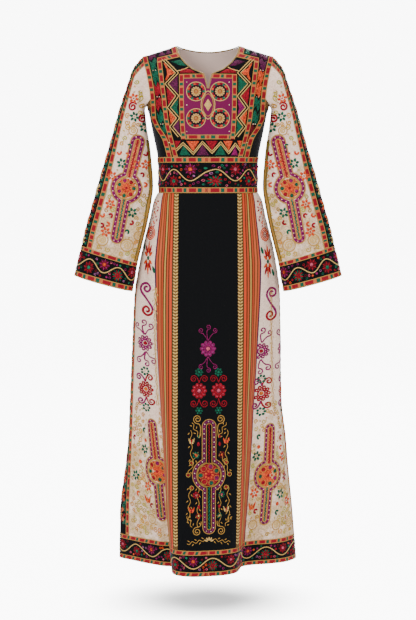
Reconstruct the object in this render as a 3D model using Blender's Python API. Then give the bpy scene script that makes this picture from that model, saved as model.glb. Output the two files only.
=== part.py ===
"""Long festive thobe dress, worn shape with no wearer. Units are metres, +Z up, front facing -Y.

Each panel is a hollow wall of cloth cut from one of four forms: the bodice, two sleeves and the skirt.
The origin is midway between the two neck points, where the dress hangs from the shoulders.
"""
import math

import bpy
import numpy as np

CLOTH = 0.0016
SEAM_GAP = 0.0003
BRAID_RISE = 0.0006
TAPE_LIFT = 0.0003
TAPE_THICK = 0.0009
LINING_THICK = 0.0010
CORD_RADIUS = 0.0014
CORD_SIDES = 6

HEM_Z = -1.4342
BELT_TOP_Z = -0.3045
BELT_BOTTOM_Z = -0.4021
HEM_BAND_TOP_Z = -1.3641
HEM_TAPE = 0.0125
BELT_TAPE = 0.0152
HIP_Z = -0.5915
SHOULDER_Z = -0.0290
NECK_HALF = 0.0887
SHOULDER_HALF = 0.1804
CHEST_Z = -0.0876
BODY_POWER = 2.4
SLEEVE_POWER = 2.2

BODY = {
    "columns": ("z", "half_width", "front", "back"),
    "rows": [
        (0.0002, 0.1832, 0.076, 0.078),
        (-0.0583, 0.1835, 0.088, 0.088),
        (-0.0974, 0.1797, 0.100, 0.097),
        (-0.1464, 0.1719, 0.110, 0.101),
        (-0.1856, 0.1632, 0.117, 0.100),
        (-0.2397, 0.1525, 0.116, 0.096),
        (-0.2791, 0.1442, 0.108, 0.091),
        (-0.3047, 0.1398, 0.102, 0.088),
        (-0.3432, 0.1369, 0.099, 0.087),
        (-0.4026, 0.1371, 0.101, 0.089),
    ],
}

SEAMS = {
    "columns": ("z", "outer_tape", "inner_tape", "frame", "back_seam"),
    "rows": [
        (-0.0290, 0.1742, 0.1321, 0.0789, 0.1804),
        (-0.0876, 0.1589, 0.1268, 0.0780, 0.1668),
        (-0.1464, 0.1502, 0.1196, 0.0776, 0.1591),
        (-0.2013, 0.1474, 0.1138, 0.0762, 0.1504),
        (-0.2249, 0.1366, 0.1094, 0.0747, 0.1415),
        (-0.2564, 0.1179, 0.1010, 0.0723, 0.1287),
        (-0.3047, 0.1046, 0.0877, 0.0684, 0.1120),
    ],
}

BODICE_ROWS = {
    "columns": ("row", "neck_z", "arm_z", "neck_x"),
    "rows": [
        (0, 0.0002, -0.0290, 0.0887),
        (1, -0.0056, -0.0339, 0.0872),
        (2, -0.0227, -0.0437, 0.0833),
        (3, -0.0339, -0.0544, 0.0769),
        (4, -0.0505, -0.0642, 0.0646),
        (5, -0.0681, -0.0740, 0.0434),
        (6, -0.0808, -0.0828, 0.0128),
        (7, -0.0930, -0.0955, 0.0097),
        (8, -0.1212, -0.1229, 0.0033),
        (9, -0.1464, -0.1464, 0.0033),
        (10, -0.1680, -0.1680, 0.0033),
        (11, -0.2013, -0.2013, 0.0033),
        (12, -0.2249, -0.2249, 0.0033),
        (13, -0.2446, -0.2446, 0.0033),
        (14, -0.2569, -0.2569, 0.0033),
        (15, -0.2791, -0.2791, 0.0033),
        (16, -0.3042, -0.3042, 0.0033),
    ],
}

SLEEVE = {
    "columns": ("station", "out_x", "out_z", "in_x", "in_z", "middle_y", "half_depth", "back_drop"),
    "rows": [
        (0, 0.1804, -0.0290, 0.1690, -0.1626, 0.000, 0.056, 0.000),
        (1, 0.2042, -0.0583, 0.1745, -0.1817, -0.004, 0.057, 0.000),
        (2, 0.2237, -0.1131, 0.1707, -0.2151, -0.010, 0.056, 0.000),
        (3, 0.2462, -0.1797, 0.1639, -0.2515, -0.016, 0.054, 0.000),
        (4, 0.2694, -0.2623, 0.1571, -0.3037, -0.023, 0.051, 0.000),
        (5, 0.2942, -0.3452, 0.1514, -0.3838, -0.031, 0.048, 0.000),
        (6, 0.3177, -0.4283, 0.1636, -0.4680, -0.040, 0.046, 0.002),
        (7, 0.3379, -0.4998, 0.1808, -0.5416, -0.047, 0.045, 0.005),
        (8, 0.3479, -0.5463, 0.1938, -0.5938, -0.052, 0.045, 0.007),
        (9, 0.3684, -0.6287, 0.2077, -0.6720, -0.056, 0.047, 0.010),
    ],
}
SLEEVE_RINGS = (0, 0.45, 1, 2, 3, 4, 5, 6, 7, 8, 8.17, 8.5, 8.83, 9)
CUFF_RING = 9
UNDERARM_CLEAR = 0.004
SLEEVE_TURNS = (0, 20, 40, 55, 70, 86, 102, 118, 136, 154, 168, 180,
                192, 208, 226, 244, 260, 276, 292, 308, 325, 342)

SKIRT = {
    "columns": ("z", "left", "right", "front", "back"),
    "rows": [
        (-0.4024, 0.1386, 0.1386, 0.102, 0.090),
        (-0.4224, 0.1491, 0.1491, 0.108, 0.098),
        (-0.4670, 0.1591, 0.1591, 0.115, 0.108),
        (-0.5416, 0.1783, 0.1783, 0.122, 0.118),
        (-0.5965, 0.1900, 0.1890, 0.127, 0.124),
        (-0.6815, 0.2048, 0.2003, 0.132, 0.130),
        (-0.8121, 0.2128, 0.2038, 0.138, 0.134),
        (-0.9839, 0.2226, 0.2086, 0.144, 0.138),
        (-1.0855, 0.2281, 0.2201, 0.147, 0.139),
        (-1.1569, 0.2343, 0.2254, 0.150, 0.140),
        (-1.3003, 0.2493, 0.2392, 0.155, 0.140),
        (-1.4342, 0.2510, 0.2500, 0.160, 0.140),
    ],
}

FOLDS = {
    "columns": ("fold", "side", "turn", "hem_x", "hem_y"),
    "rows": [
        ("front_centre", 1, 0, 0.000, -0.214),
        ("front_quarter", 1, 16, 0.041, -0.203),
        ("lobe_edge", 1, 33, 0.074, -0.178),
        ("step_side", 1, 42, 0.086, -0.142),
        ("step_foot", 1, 51, 0.094, -0.108),
        ("cream_inner", 1, 60, 0.122, -0.091),
        ("cream_middle", 1, 69, 0.170, -0.078),
        ("cream_outer", 1, 79, 0.223, -0.050),
        ("side", 1, 90, 0.2500, 0.000),
        ("back_corner", 1, 108, 0.225, 0.062),
        ("back_ridge", 1, 128, 0.167, 0.118),
        ("back_trough", 1, 146, 0.110, 0.106),
        ("back_crest", 1, 163, 0.056, 0.140),
        ("back_centre", 1, 180, 0.000, 0.124),
        ("back_crest", -1, 163, 0.061, 0.142),
        ("back_trough", -1, 146, 0.114, 0.108),
        ("back_ridge", -1, 128, 0.170, 0.116),
        ("back_corner", -1, 108, 0.229, 0.060),
        ("side", -1, 90, 0.2510, 0.000),
        ("cream_outer", -1, 78, 0.208, -0.040),
        ("cream_middle", -1, 69, 0.162, -0.078),
        ("cream_inner", -1, 61, 0.121, -0.103),
        ("fold_trough", -1, 53, 0.091, -0.112),
        ("fold_crest", -1, 44, 0.099, -0.150),
        ("lobe_edge", -1, 34, 0.083, -0.205),
        ("front_quarter", -1, 17, 0.043, -0.220),
    ],
}

SKIRT_LEVELS = (-0.4024, -0.4224, -0.4670, -0.5416, -0.6315, -0.7417, -0.8625,
                -0.9839, -1.1110, -1.2388, HEM_BAND_TOP_Z)

# Widths along the cloth: at the waist, at the hip and at the hem, and how many cells each takes
STRIPS = {
    "columns": ("strip", "waist", "hip", "hem", "cells"),
    "rows": [
        ("centre", 0.0815, 0.0818, 0.0842, 4),
        ("braid", 0.0119, 0.0135, 0.0137, 1),
        ("stripes", 0.0437, 0.0578, 0.0629, 3),
        ("cream", 0.0526, 0.0768, 0.1826, 7),
        ("side_tape", 0.0079, 0.0120, 0.0127, 1),
        ("side_band", 0.0298, 0.0419, 0.0669, 3),
        ("edge_braid", 0.0079, 0.0110, 0.0127, 1),
    ],
}
BACK_CELLS = 12

COLOURS = {
    "velvet": (0.006, 0.007, 0.009),
    "cream": (0.76, 0.64, 0.58),
    "gold": (0.55, 0.34, 0.12),
    "coral": (0.75, 0.16, 0.06),
    "crimson": (0.43, 0.012, 0.04),
    "magenta": (0.29, 0.011, 0.14),
    "lining": (0.66, 0.52, 0.44),
    "patch": (0.10, 0.03, 0.05),
}


def read(table, name, value):
    """Smoothly read a named column of a table at a value of its first column."""
    place = table["columns"].index(name)
    pairs = sorted((row[0], row[place]) for row in table["rows"])
    keys = [pair[0] for pair in pairs]
    values = [pair[1] for pair in pairs]
    if value <= keys[0]:
        return values[0]
    if value >= keys[-1]:
        return values[-1]
    k = max(i for i in range(len(keys) - 1) if keys[i] <= value)
    slopes = [(values[i + 1] - values[i]) / (keys[i + 1] - keys[i]) for i in range(len(keys) - 1)]
    start = slopes[k] if k == 0 else blend_slope(slopes[k - 1], slopes[k])
    end = slopes[k] if k + 1 == len(slopes) else blend_slope(slopes[k], slopes[k + 1])
    step = keys[k + 1] - keys[k]
    t = (value - keys[k]) / step
    first = (1 + 2 * t) * (1 - t) ** 2 * values[k] + t * t * (3 - 2 * t) * values[k + 1]
    return first + step * (t * (1 - t) ** 2 * start + t * t * (t - 1) * end)


def blend_slope(before, after):
    """A tangent that never overshoots a peak."""
    if before * after <= 0:
        return 0.0
    return 2 * before * after / (before + after)


def mix(first, second, amount):
    return first + (second - first) * amount


def unit(vector):
    size = float(np.linalg.norm(vector))
    return vector / size if size > 1e-12 else vector


# Form of the bodice

def shoulder_z(x):
    slope = SHOULDER_Z / (SHOULDER_HALF - NECK_HALF)
    return slope * (abs(x) - NECK_HALF)


def body_point(x, z, side):
    """A point on the bodice at a width and height. Side is -1 at the front and 1 at the back."""
    half = read(BODY, "half_width", z)
    depth = read(BODY, "front" if side < 0 else "back", z)
    share = min(1.0, abs(x) / half)
    y = depth * (1 - share ** BODY_POWER) ** (1 / BODY_POWER)
    if z > CHEST_Z:
        rise = min(1.0, (z - CHEST_Z) / (shoulder_z(x) - CHEST_Z))
        y *= math.sqrt(max(0.0, 1 - rise * rise))
    return np.array((x, side * y, z))


def side_point(share, z):
    """A point on the side panel. Share runs from the front seam, 0, to the back seam, 1."""
    half = read(BODY, "half_width", z)
    front_x = min(front_seam(z), half * 0.995)
    back_x = min(read(SEAMS, "back_seam", z), half * 0.995)
    start = math.asin((front_x / half) ** (BODY_POWER / 2))
    end = math.pi - math.asin((back_x / half) ** (BODY_POWER / 2))
    turn = mix(start, end, share)
    depth = read(BODY, "front" if turn < math.pi / 2 else "back", z)
    x = half * abs(math.sin(turn)) ** (2 / BODY_POWER)
    y = -math.copysign(depth * abs(math.cos(turn)) ** (2 / BODY_POWER), math.cos(turn))
    return np.array((x, y, z))


def front_seam(z):
    return read(SEAMS, "outer_tape", z) + 0.0063


def front_columns(row):
    """Widths of the column lines of one front row, from the neck or slit to the armhole seam."""
    _, _, arm_z, neck_x = BODICE_ROWS["rows"][row]
    outer = read(SEAMS, "outer_tape", arm_z)
    inner = read(SEAMS, "inner_tape", arm_z)
    frame = read(SEAMS, "frame", arm_z)
    low = [neck_x, mix(neck_x, frame - 0.013, 0.52), frame - 0.0125, frame,
           mix(frame, inner - 0.0063, 0.5), inner - 0.0063, inner + 0.0063, outer - 0.0063,
           outer + 0.0063]
    top = [neck_x, neck_x + 0.0125, neck_x + 0.021, neck_x + 0.028, neck_x + 0.034,
           0.1258, 0.1384, outer - 0.0063, outer + 0.0063]
    top[5] = max(top[5], inner - 0.0063)
    top[6] = max(top[6], inner + 0.0063)
    amount = min(1.0, max(0.0, (row - 2) / 4))
    amount = amount * amount * (3 - 2 * amount)
    return [mix(a, b, amount) for a, b in zip(top, low)]


def row_height(row, share):
    _, neck_z, arm_z, _ = BODICE_ROWS["rows"][row]
    return mix(neck_z, arm_z, share)


def front_point(row, column):
    widths = front_columns(row)
    x = widths[abs(column)]
    if row == 0:
        z = shoulder_z(x)
        return np.array((math.copysign(x, column), 0.0, z))
    share = (x - widths[0]) / (widths[8] - widths[0])
    return mirror_to(body_point(x, row_height(row, share), -1), column)


def mirror_to(point, column):
    out = point.copy()
    out[0] = math.copysign(abs(out[0]), column)
    return out


def back_point(row, column):
    """Back column lines run from the centre, 0, to the armhole or side seam, 8."""
    arm_z = BODICE_ROWS["rows"][row][2]
    seam = read(SEAMS, "back_seam", arm_z)
    share = abs(column) / 8
    low = seam * share
    top = (0.0, 0.0296, 0.0591, NECK_HALF, 0.1064, 0.1251, 0.1438, 0.1626, SHOULDER_HALF)[abs(column)]
    amount = min(1.0, row / 6)
    x = mix(top, low, amount) if abs(column) < 8 else (SHOULDER_HALF if row == 0 else seam)
    if row == 0 and x >= NECK_HALF:
        return np.array((math.copysign(x, column), 0.0, shoulder_z(x)))
    top_z = shoulder_z(x) if x > NECK_HALF else -0.013 * (1 - (x / NECK_HALF) ** 2)
    level = arm_z - SHOULDER_Z
    flat = min(1.0, row / 9)
    z = mix(top_z + level, arm_z, flat)
    return mirror_to(body_point(x, z, 1), column)


# Meshes shared by the panels of one form

def new_form():
    return {"points": {}, "cells": {}, "normals": {}}


def add_cell(form, piece, corners):
    form["cells"].setdefault(piece, []).append(tuple(corners))


def settle_normals(form, outward=1):
    """Average the cell directions at each point. The cells run anticlockwise seen from outside."""
    totals = {key: np.zeros(3) for key in form["points"]}
    for cells in form["cells"].values():
        for cell in cells:
            a, b, c, d = (form["points"][key] for key in cell)
            area = np.cross(c - a, d - b) * outward
            for key in cell:
                totals[key] += area
    form["normals"] = {key: unit(value) for key, value in totals.items()}


def edge_moves(form, cells, outward):
    """For each edge point of a piece, the direction that leads into the piece along the cloth."""
    edges = set()
    for cell in cells:
        for a, b in zip(cell, cell[1:] + cell[:1]):
            edges.add((a, b))
    moves = {}
    for a, b in edges:
        if (b, a) in edges:
            continue
        along = unit(form["points"][b] - form["points"][a])
        normal = unit(form["normals"][a] + form["normals"][b]) * outward
        into = unit(np.cross(normal, along))
        for key in (a, b):
            moves.setdefault(key, []).append(into)
    result = {}
    for key, parts in moves.items():
        if len(parts) == 1:
            result[key] = parts[0]
        else:
            total = parts[0] + parts[1]
            result[key] = total / max(0.35, 1 + float(np.dot(parts[0], parts[1])))
    return result


def build_solid(name, form, cells, inner, outer, colour, outward=1, inset=SEAM_GAP / 2):
    """Thicken the cells into a closed wall between two distances from the form."""
    moves = edge_moves(form, cells, outward)
    keys = []
    for cell in cells:
        for key in cell:
            if key not in keys:
                keys.append(key)
    index = {key: i for i, key in enumerate(keys)}
    count = len(keys)
    points = []
    for distance in (outer, inner):
        for key in keys:
            base = form["points"][key] + moves.get(key, np.zeros(3)) * inset
            points.append(tuple(base + form["normals"][key] * distance))
    faces = []
    edges = set()
    for cell in cells:
        for a, b in zip(cell, cell[1:] + cell[:1]):
            edges.add((a, b))
        a, b, c, d = (index[key] for key in cell)
        faces.append((a, b, c))
        faces.append((a, c, d))
        faces.append((c + count, b + count, a + count))
        faces.append((d + count, c + count, a + count))
    for a, b in sorted(edges, key=lambda pair: (index[pair[0]], index[pair[1]])):
        if (b, a) in edges:
            continue
        i, j = index[a], index[b]
        if str(a) < str(b):
            faces.append((j, i, i + count))
            faces.append((j, i + count, j + count))
        else:
            faces.append((j, i, j + count))
            faces.append((i, i + count, j + count))
    if outward < 0:
        faces = [face[::-1] for face in faces]
    return make_object(name, points, faces, colour)


def make_object(name, points, faces, colour):
    mesh = bpy.data.meshes.new(name)
    mesh.from_pydata(points, [], faces)
    mesh.update()
    thing = bpy.data.objects.new(name, mesh)
    bpy.context.scene.collection.objects.link(thing)
    material = bpy.data.materials.new(name + "_cloth")
    material.use_nodes = True
    shader = material.node_tree.nodes["Principled BSDF"]
    shader.inputs["Base Color"].default_value = (*COLOURS[colour], 1.0)
    shader.inputs["Roughness"].default_value = 0.8
    mesh.materials.append(material)
    return thing


def cord_solid(name, path, radius, sides, colour):
    """A cord of a regular section along a path of points, each with its cloth normal."""
    points = []
    faces = []
    last = len(path) - 1
    for i, (centre, up) in enumerate(path):
        along = unit(path[min(i + 1, last)][0] - path[max(i - 1, 0)][0])
        across = unit(np.cross(along, up))
        lift = unit(np.cross(across, along))
        for k in range(sides):
            turn = 2 * math.pi * (k + 0.5) / sides
            points.append(tuple(centre + radius * (math.cos(turn) * across + math.sin(turn) * lift)))
    for i in range(last):
        for k in range(sides):
            a = i * sides + k
            b = i * sides + (k + 1) % sides
            faces.append((a, b, b + sides, a + sides))
    faces.append(tuple(range(sides))[::-1])
    faces.append(tuple(last * sides + k for k in range(sides)))
    thing = make_object(name, points, faces, colour)
    volume = sum(signed_volume(points, face) for face in faces)
    if volume < 0:
        thing.data.flip_normals()
    return thing


def signed_volume(points, face):
    a = np.array(points[face[0]])
    total = 0.0
    for j in range(1, len(face) - 1):
        b, c = np.array(points[face[j]]), np.array(points[face[j + 1]])
        total += float(np.dot(a, np.cross(b, c))) / 6
    return total


# Bodice

def bodice_form():
    form = new_form()
    for row in range(17):
        for column in [*range(-8, 0), *range(1, 9), "r0", "l0"]:
            if column == "r0":
                point = front_point(row, 0)
            elif column == "l0":
                point = front_point(row, 0) * np.array((-1, 1, 1))
            else:
                point = front_point(row, column)
            form["points"][("f", row, column)] = point
        for column in range(-8, 9):
            if abs(column) == 8 and row == 0:
                continue
            form["points"][("b", row, column)] = back_point(row, column)
        for sign in (-1, 1):
            for k in (1, 2, 3):
                form["points"][("s", row, sign * k)] = panel_point(row, sign * k)
    order = [-8, -7, -6, -5, -4, -3, -2, -1, "l0", "r0", 1, 2, 3, 4, 5, 6, 7, 8]
    for row in range(16):
        for a, b in zip(order, order[1:]):
            if a == "l0" and row < 8:
                continue
            add_cell(form, "bodice_front", (("f", row, a), ("f", row + 1, a),
                                            ("f", row + 1, b), ("f", row, b)))
        for column in range(8, -8, -1):
            add_cell(form, "bodice_back", (back_key(row, column), back_key(row + 1, column),
                                           back_key(row + 1, column - 1), back_key(row, column - 1)))
    for row in range(9, 16):
        for sign, name in ((1, "side_panel_right"), (-1, "side_panel_left")):
            line = [("f", sign * 8), ("s", sign), ("s", sign * 2), ("s", sign * 3), ("b", sign * 8)]
            if sign < 0:
                line = line[::-1]
            for (kind_a, a), (kind_b, b) in zip(line, line[1:]):
                add_cell(form, name, ((kind_a, row, a), (kind_a, row + 1, a),
                                      (kind_b, row + 1, b), (kind_b, row, b)))
    return form


def back_key(row, column):
    """The shoulder point belongs to the front and the back."""
    if row == 0 and abs(column) == 8:
        return ("f", 0, column)
    return ("b", row, column)


def panel_point(row, column):
    """Side panel points. The top row follows the bottom of the armhole."""
    k = abs(column)
    arm_z = BODICE_ROWS["rows"][row][2]
    sag = (0.0, 0.0125, 0.0165, 0.0125)[k] * max(0.0, min(1.0, (12 - row) / 3))
    return mirror_to(side_point(k / 4, arm_z - sag), column)


def armhole_ring(form, sign):
    keys = [("f", row, sign * 8) for row in range(0, 10)]
    keys += [("s", 9, sign * k) for k in (1, 2, 3)]
    keys += [("b", row, sign * 8) for row in range(9, 0, -1)]
    return keys


def settle_armhole(form, sign):
    """At the armhole the cloth edges point away from the middle of the ring."""
    keys = armhole_ring(form, sign)
    middle = sum(form["points"][key] for key in keys) / len(keys)
    radial = {}
    for key in keys:
        outward = form["points"][key] - middle
        outward[0] = 0.0
        outward = unit(outward)
        radial[key] = outward
        under = max(0.0, -outward[2]) * 0.9
        form["normals"][key] = unit(outward + form["normals"][key] * under)
    return [(form["points"][key], radial[key]) for key in keys]


# Sleeves

def sleeve_point(station, turn, sign):
    out = np.array((read(SLEEVE, "out_x", station), read(SLEEVE, "out_z", station)))
    inn = np.array((read(SLEEVE, "in_x", station), read(SLEEVE, "in_z", station)))
    angle = math.radians(turn)
    along = math.copysign(abs(math.cos(angle)) ** (2 / SLEEVE_POWER), math.cos(angle))
    deep = math.copysign(abs(math.sin(angle)) ** (2 / SLEEVE_POWER), math.sin(angle))
    middle = (out + inn) / 2 + (out - inn) / 2 * along
    y = read(SLEEVE, "middle_y", station) - deep * read(SLEEVE, "half_depth", station)
    drop = read(SLEEVE, "back_drop", station) * max(0.0, -deep)
    return np.array((sign * middle[0], y, middle[1] - drop))


def sleeve_form(ring, sign):
    form = new_form()
    count = len(SLEEVE_TURNS)
    for level, station in enumerate(SLEEVE_RINGS):
        for i, turn in enumerate(SLEEVE_TURNS):
            if level == 0:
                point = ring[i][0] + np.array((sign * SEAM_GAP, 0, 0))
            else:
                point = sleeve_point(station, turn, sign)
                if station < 1:
                    near = ring[i][0] + sleeve_point(1, turn, sign)
                    point = mix(point, near / 2, 0.65)
                    point[0] += sign * UNDERARM_CLEAR * max(0.0, -math.cos(math.radians(turn)))
            form["points"][(level, i)] = point
    names = sleeve_names(sign)
    for level in range(len(SLEEVE_RINGS) - 1):
        for i in range(count):
            j = (i + 1) % count
            if SLEEVE_RINGS[level] >= CUFF_RING - 1:
                piece = names[{10: "cuff_top", 13: "cuff_bottom"}.get(level + 1, "cuff")]
            elif i in (20, 21, 0, 1):
                piece = names["band"]
            elif i == 2:
                piece = names["tape"]
            elif i < 11:
                piece = names["front"]
            else:
                piece = names["back"]
            add_cell(form, piece, ((level, i), (level + 1, i), (level + 1, j), (level, j)))
    settle_normals(form, -sign)
    for i in range(count):
        under = max(0.0, -ring[i][1][2]) * 0.9
        form["normals"][(0, i)] = unit(ring[i][1] + form["normals"][(0, i)] * under)
    return form


def sleeve_names(sign):
    side = "right" if sign > 0 else "left"
    return {
        "band": "sleeve_outer_band_" + side,
        "tape": "sleeve_tape_" + side,
        "front": "sleeve_front_" + side,
        "back": "sleeve_back_" + side,
        "cuff": "cuff_" + side,
        "cuff_top": "cuff_top_tape_" + side,
        "cuff_bottom": "cuff_bottom_tape_" + side,
    }


# Belt

def belt_form():
    form = new_form()
    heights = (BELT_TOP_Z - SEAM_GAP, BELT_TOP_Z - BELT_TAPE, (BELT_TOP_Z + BELT_BOTTOM_Z) / 2,
               BELT_BOTTOM_Z + BELT_TAPE, BELT_BOTTOM_Z)
    count = 32
    for row, z in enumerate(heights):
        half = read(BODY, "half_width", z) + 0.0008
        for i in range(count):
            turn = 2 * math.pi * i / count
            depth = read(BODY, "front" if math.cos(turn) > 0 else "back", z) + 0.0008
            x = math.copysign(half * abs(math.sin(turn)) ** (2 / BODY_POWER), math.sin(turn))
            y = -math.copysign(depth * abs(math.cos(turn)) ** (2 / BODY_POWER), math.cos(turn))
            form["points"][(row, i)] = np.array((x, y, z))
    for row, piece in enumerate(("belt_top_tape", "belt", "belt", "belt_bottom_tape")):
        for i in range(count):
            j = (i + 1) % count
            add_cell(form, piece, ((row, i), (row + 1, i), (row + 1, j), (row, j)))
    settle_normals(form)
    return form


# Skirt

def skirt_ring(z):
    """A closed plan curve at one height, through the fold lines, with its running length."""
    growth = min(1.0, max(0.0, (HIP_Z - z) / (HIP_Z - HEM_Z)))
    corners = []
    for _, side, turn, hem_x, hem_y in FOLDS["rows"]:
        half = read(SKIRT, "right" if side > 0 else "left", z)
        hem_half = read(SKIRT, "right" if side > 0 else "left", HEM_Z)
        angle = math.radians(turn)
        depth = read(SKIRT, "front" if turn < 90 else "back", z)
        wide = abs(math.sin(angle)) ** (2 / BODY_POWER)
        deep = math.copysign(abs(math.cos(angle)) ** (2 / BODY_POWER), math.cos(angle))
        x = side * half * mix(wide, hem_x / hem_half, growth)
        y = mix(-depth * deep, hem_y, growth)
        corners.append((x, y))
    return closed_curve(np.array(corners), 24)


def closed_curve(corners, steps):
    count = len(corners)
    spans = [float(np.linalg.norm(corners[(i + 1) % count] - corners[i])) for i in range(count)]
    slopes = []
    for i in range(count):
        before = (corners[i] - corners[i - 1]) / spans[i - 1]
        after = (corners[(i + 1) % count] - corners[i]) / spans[i]
        share = spans[i - 1] / (spans[i - 1] + spans[i])
        slopes.append(mix(before, after, share))
    points = []
    for i in range(count):
        j = (i + 1) % count
        for k in range(steps):
            t = k / steps
            point = (1 + 2 * t) * (1 - t) ** 2 * corners[i] + t * t * (3 - 2 * t) * corners[j]
            point = point + spans[i] * t * (1 - t) ** 2 * slopes[i]
            point = point + spans[i] * t * t * (t - 1) * slopes[j]
            points.append(point)
    points.append(points[0])
    points = np.array(points)
    lengths = np.concatenate(([0.0], np.cumsum(np.linalg.norm(np.diff(points, axis=0), axis=1))))
    return points, lengths


def strip_width(strip, z):
    row = next(row for row in STRIPS["rows"] if row[0] == strip)
    waist_z = SKIRT_LEVELS[0]
    if z > HIP_Z:
        return mix(row[2], row[1], (z - HIP_Z) / (waist_z - HIP_Z))
    return mix(row[2], row[3], (HIP_Z - z) / (HIP_Z - HEM_Z))


def skirt_columns(z, total):
    """Places along the ring, from the front centre around to the right, and the strip names."""
    right = [0.0]
    names = []
    for strip, _, _, _, cells in STRIPS["rows"]:
        width = strip_width(strip, z)
        start = right[-1]
        for k in range(cells):
            right.append(start + width * (k + 1) / cells)
            names.append(strip)
    left = [total - place for place in right]
    back = [mix(right[-1], left[-1], k / BACK_CELLS) for k in range(1, BACK_CELLS)]
    places = right + back + left[:0:-1]
    labels = [name + "_right" for name in names]
    labels += ["back"] * BACK_CELLS
    labels += [name + "_left" for name in names[::-1]]
    return places, labels


def skirt_form():
    form = new_form()
    hem_rows = (HEM_BAND_TOP_Z - HEM_TAPE, (HEM_BAND_TOP_Z + HEM_Z) / 2, HEM_Z + HEM_TAPE, HEM_Z)
    levels = SKIRT_LEVELS + hem_rows
    for row, z in enumerate(levels):
        points, lengths = skirt_ring(z)
        places, labels = skirt_columns(z, lengths[-1])
        for i, place in enumerate(places):
            x = float(np.interp(place, lengths, points[:, 0]))
            y = float(np.interp(place, lengths, points[:, 1]))
            form["points"][(row, i)] = np.array((x, y, z))
    count = len(labels)
    hem_names = ("hem_top_tape", "hem_band", "hem_band", "hem_bottom_tape")
    for row in range(len(levels) - 1):
        for i in range(count):
            j = (i + 1) % count
            piece = skirt_name(labels[i])
            if row >= len(SKIRT_LEVELS) - 1:
                piece = hem_names[row - len(SKIRT_LEVELS) + 1]
            add_cell(form, piece, ((row, i), (row + 1, i), (row + 1, j), (row, j)))
    settle_normals(form)
    return form


def skirt_name(label):
    if label.startswith("centre"):
        return "skirt_front_centre"
    return "skirt_" + label


# The pieces

def chosen(form, piece, test):
    """The cells of a piece whose first and third corners pass a test."""
    return [cell for cell in form["cells"][piece] if test(cell[0], cell[2])]


def column_number(key):
    return 0 if key[2] in ("l0", "r0") else key[2]


def front_cells(form, sign, rows, columns):
    """Front cells between two rows and between two columns on one side."""
    def inside(a, c):
        low = min(sign * column_number(a), sign * column_number(c))
        high = max(sign * column_number(a), sign * column_number(c))
        centre = a[2] in ("l0", "r0") and c[2] in ("l0", "r0")
        in_rows = rows[0] <= a[1] and c[1] <= rows[1]
        return in_rows and not centre and columns[0] <= low and high <= columns[1]
    return chosen(form, "bodice_front", inside)


def centre_cells(form, rows):
    def inside(a, c):
        return a[2] == "l0" and c[2] == "r0" and rows[0] <= a[1] and c[1] <= rows[1]
    return chosen(form, "bodice_front", inside)


def build_bodice():
    form = bodice_form()
    settle_normals(form)
    slope = SHOULDER_Z / (SHOULDER_HALF - NECK_HALF)
    for key in form["points"]:
        x = form["points"][key][0]
        if key[1] == 0 and key[0] in "fb" and abs(x) >= NECK_HALF - 1e-9:
            form["normals"][key] = unit(np.array((-slope * math.copysign(1, x), 0, 1.0)))
    rings = {sign: settle_armhole(form, sign) for sign in (-1, 1)}
    build_solid("bodice_front", form, form["cells"]["bodice_front"], -CLOTH, 0, "crimson")
    build_solid("bodice_back", form, form["cells"]["bodice_back"], -CLOTH, 0, "velvet")
    for side in ("right", "left"):
        name = "side_panel_" + side
        build_solid(name, form, form["cells"][name], -CLOTH, 0, "velvet")
    build_trims(form)
    build_neck(form)
    return rings


def build_trims(form):
    low, high = TAPE_LIFT, TAPE_LIFT + TAPE_THICK
    chest = front_cells(form, 1, (7, 13), (0, 2)) + front_cells(form, -1, (7, 13), (0, 2))
    chest += centre_cells(form, (8, 13))
    build_solid("chest_panel", form, chest, low, high, "magenta")
    frame = centre_cells(form, (13, 14))
    for sign in (1, -1):
        frame += front_cells(form, sign, (6, 7), (0, 3))
        frame += front_cells(form, sign, (7, 13), (2, 3))
        frame += front_cells(form, sign, (13, 14), (0, 3))
    build_solid("chest_frame_tape", form, frame, low, high, "coral")
    for sign, side in ((1, "right"), (-1, "left")):
        outer = front_cells(form, sign, (0, 16), (7, 8))
        build_solid("bodice_outer_tape_" + side, form, outer, low, high, "coral")
        inner = front_cells(form, sign, (3, 16), (5, 6))
        build_solid("bodice_inner_tape_" + side, form, inner, low, high, "coral")
        yoke = front_cells(form, sign, (2, 3), (0, 6)) + front_cells(form, sign, (0, 2), (0, 1))
        build_solid("shoulder_tape_" + side, form, yoke, low, high, "coral")
        under = [cell for cell in form["cells"]["side_panel_" + side] if cell[0][1] == 9]
        build_solid("underarm_tape_" + side, form, under, low, high, "gold")


def build_neck(form):
    def inside(a, c):
        return c[1] <= 8 and max(abs(a[2]), abs(c[2])) <= 6
    facing = chosen(form, "bodice_back", inside)
    far = -CLOTH - TAPE_LIFT
    build_solid("neck_lining", form, facing, far - LINING_THICK, far, "lining")
    front = edge_moves(form, form["cells"]["bodice_front"], 1)
    back = edge_moves(form, form["cells"]["bodice_back"], 1)
    path = []
    reach = CORD_RADIUS + 2 * SEAM_GAP
    for row in range(8, -1, -1):
        path.append(cord_point(form, ("f", row, "r0"), front, reach))
    for column in range(2, -3, -1):
        path.append(cord_point(form, ("b", 0, column), back, reach))
    for row in range(0, 9):
        path.append(cord_point(form, ("f", row, "l0"), front, reach))
    cord_solid("neck_binding", path, CORD_RADIUS, CORD_SIDES, "gold")


def cord_point(form, key, moves, reach):
    """Just outside the cloth edge, at half its thickness."""
    move = moves[key]
    if key[1] == 8:
        move = np.array((math.copysign(1.0, form["points"][key][0]), 0, 0))
    if key[1] == 0 and key[0] == "f":
        move = np.array((math.copysign(1.0, form["points"][key][0]), 0, 0))
    point = form["points"][key] - move * reach - form["normals"][key] * CLOTH / 2
    if key[1] == 8:
        point[2] += CORD_RADIUS
    return point, form["normals"][key]


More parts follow.
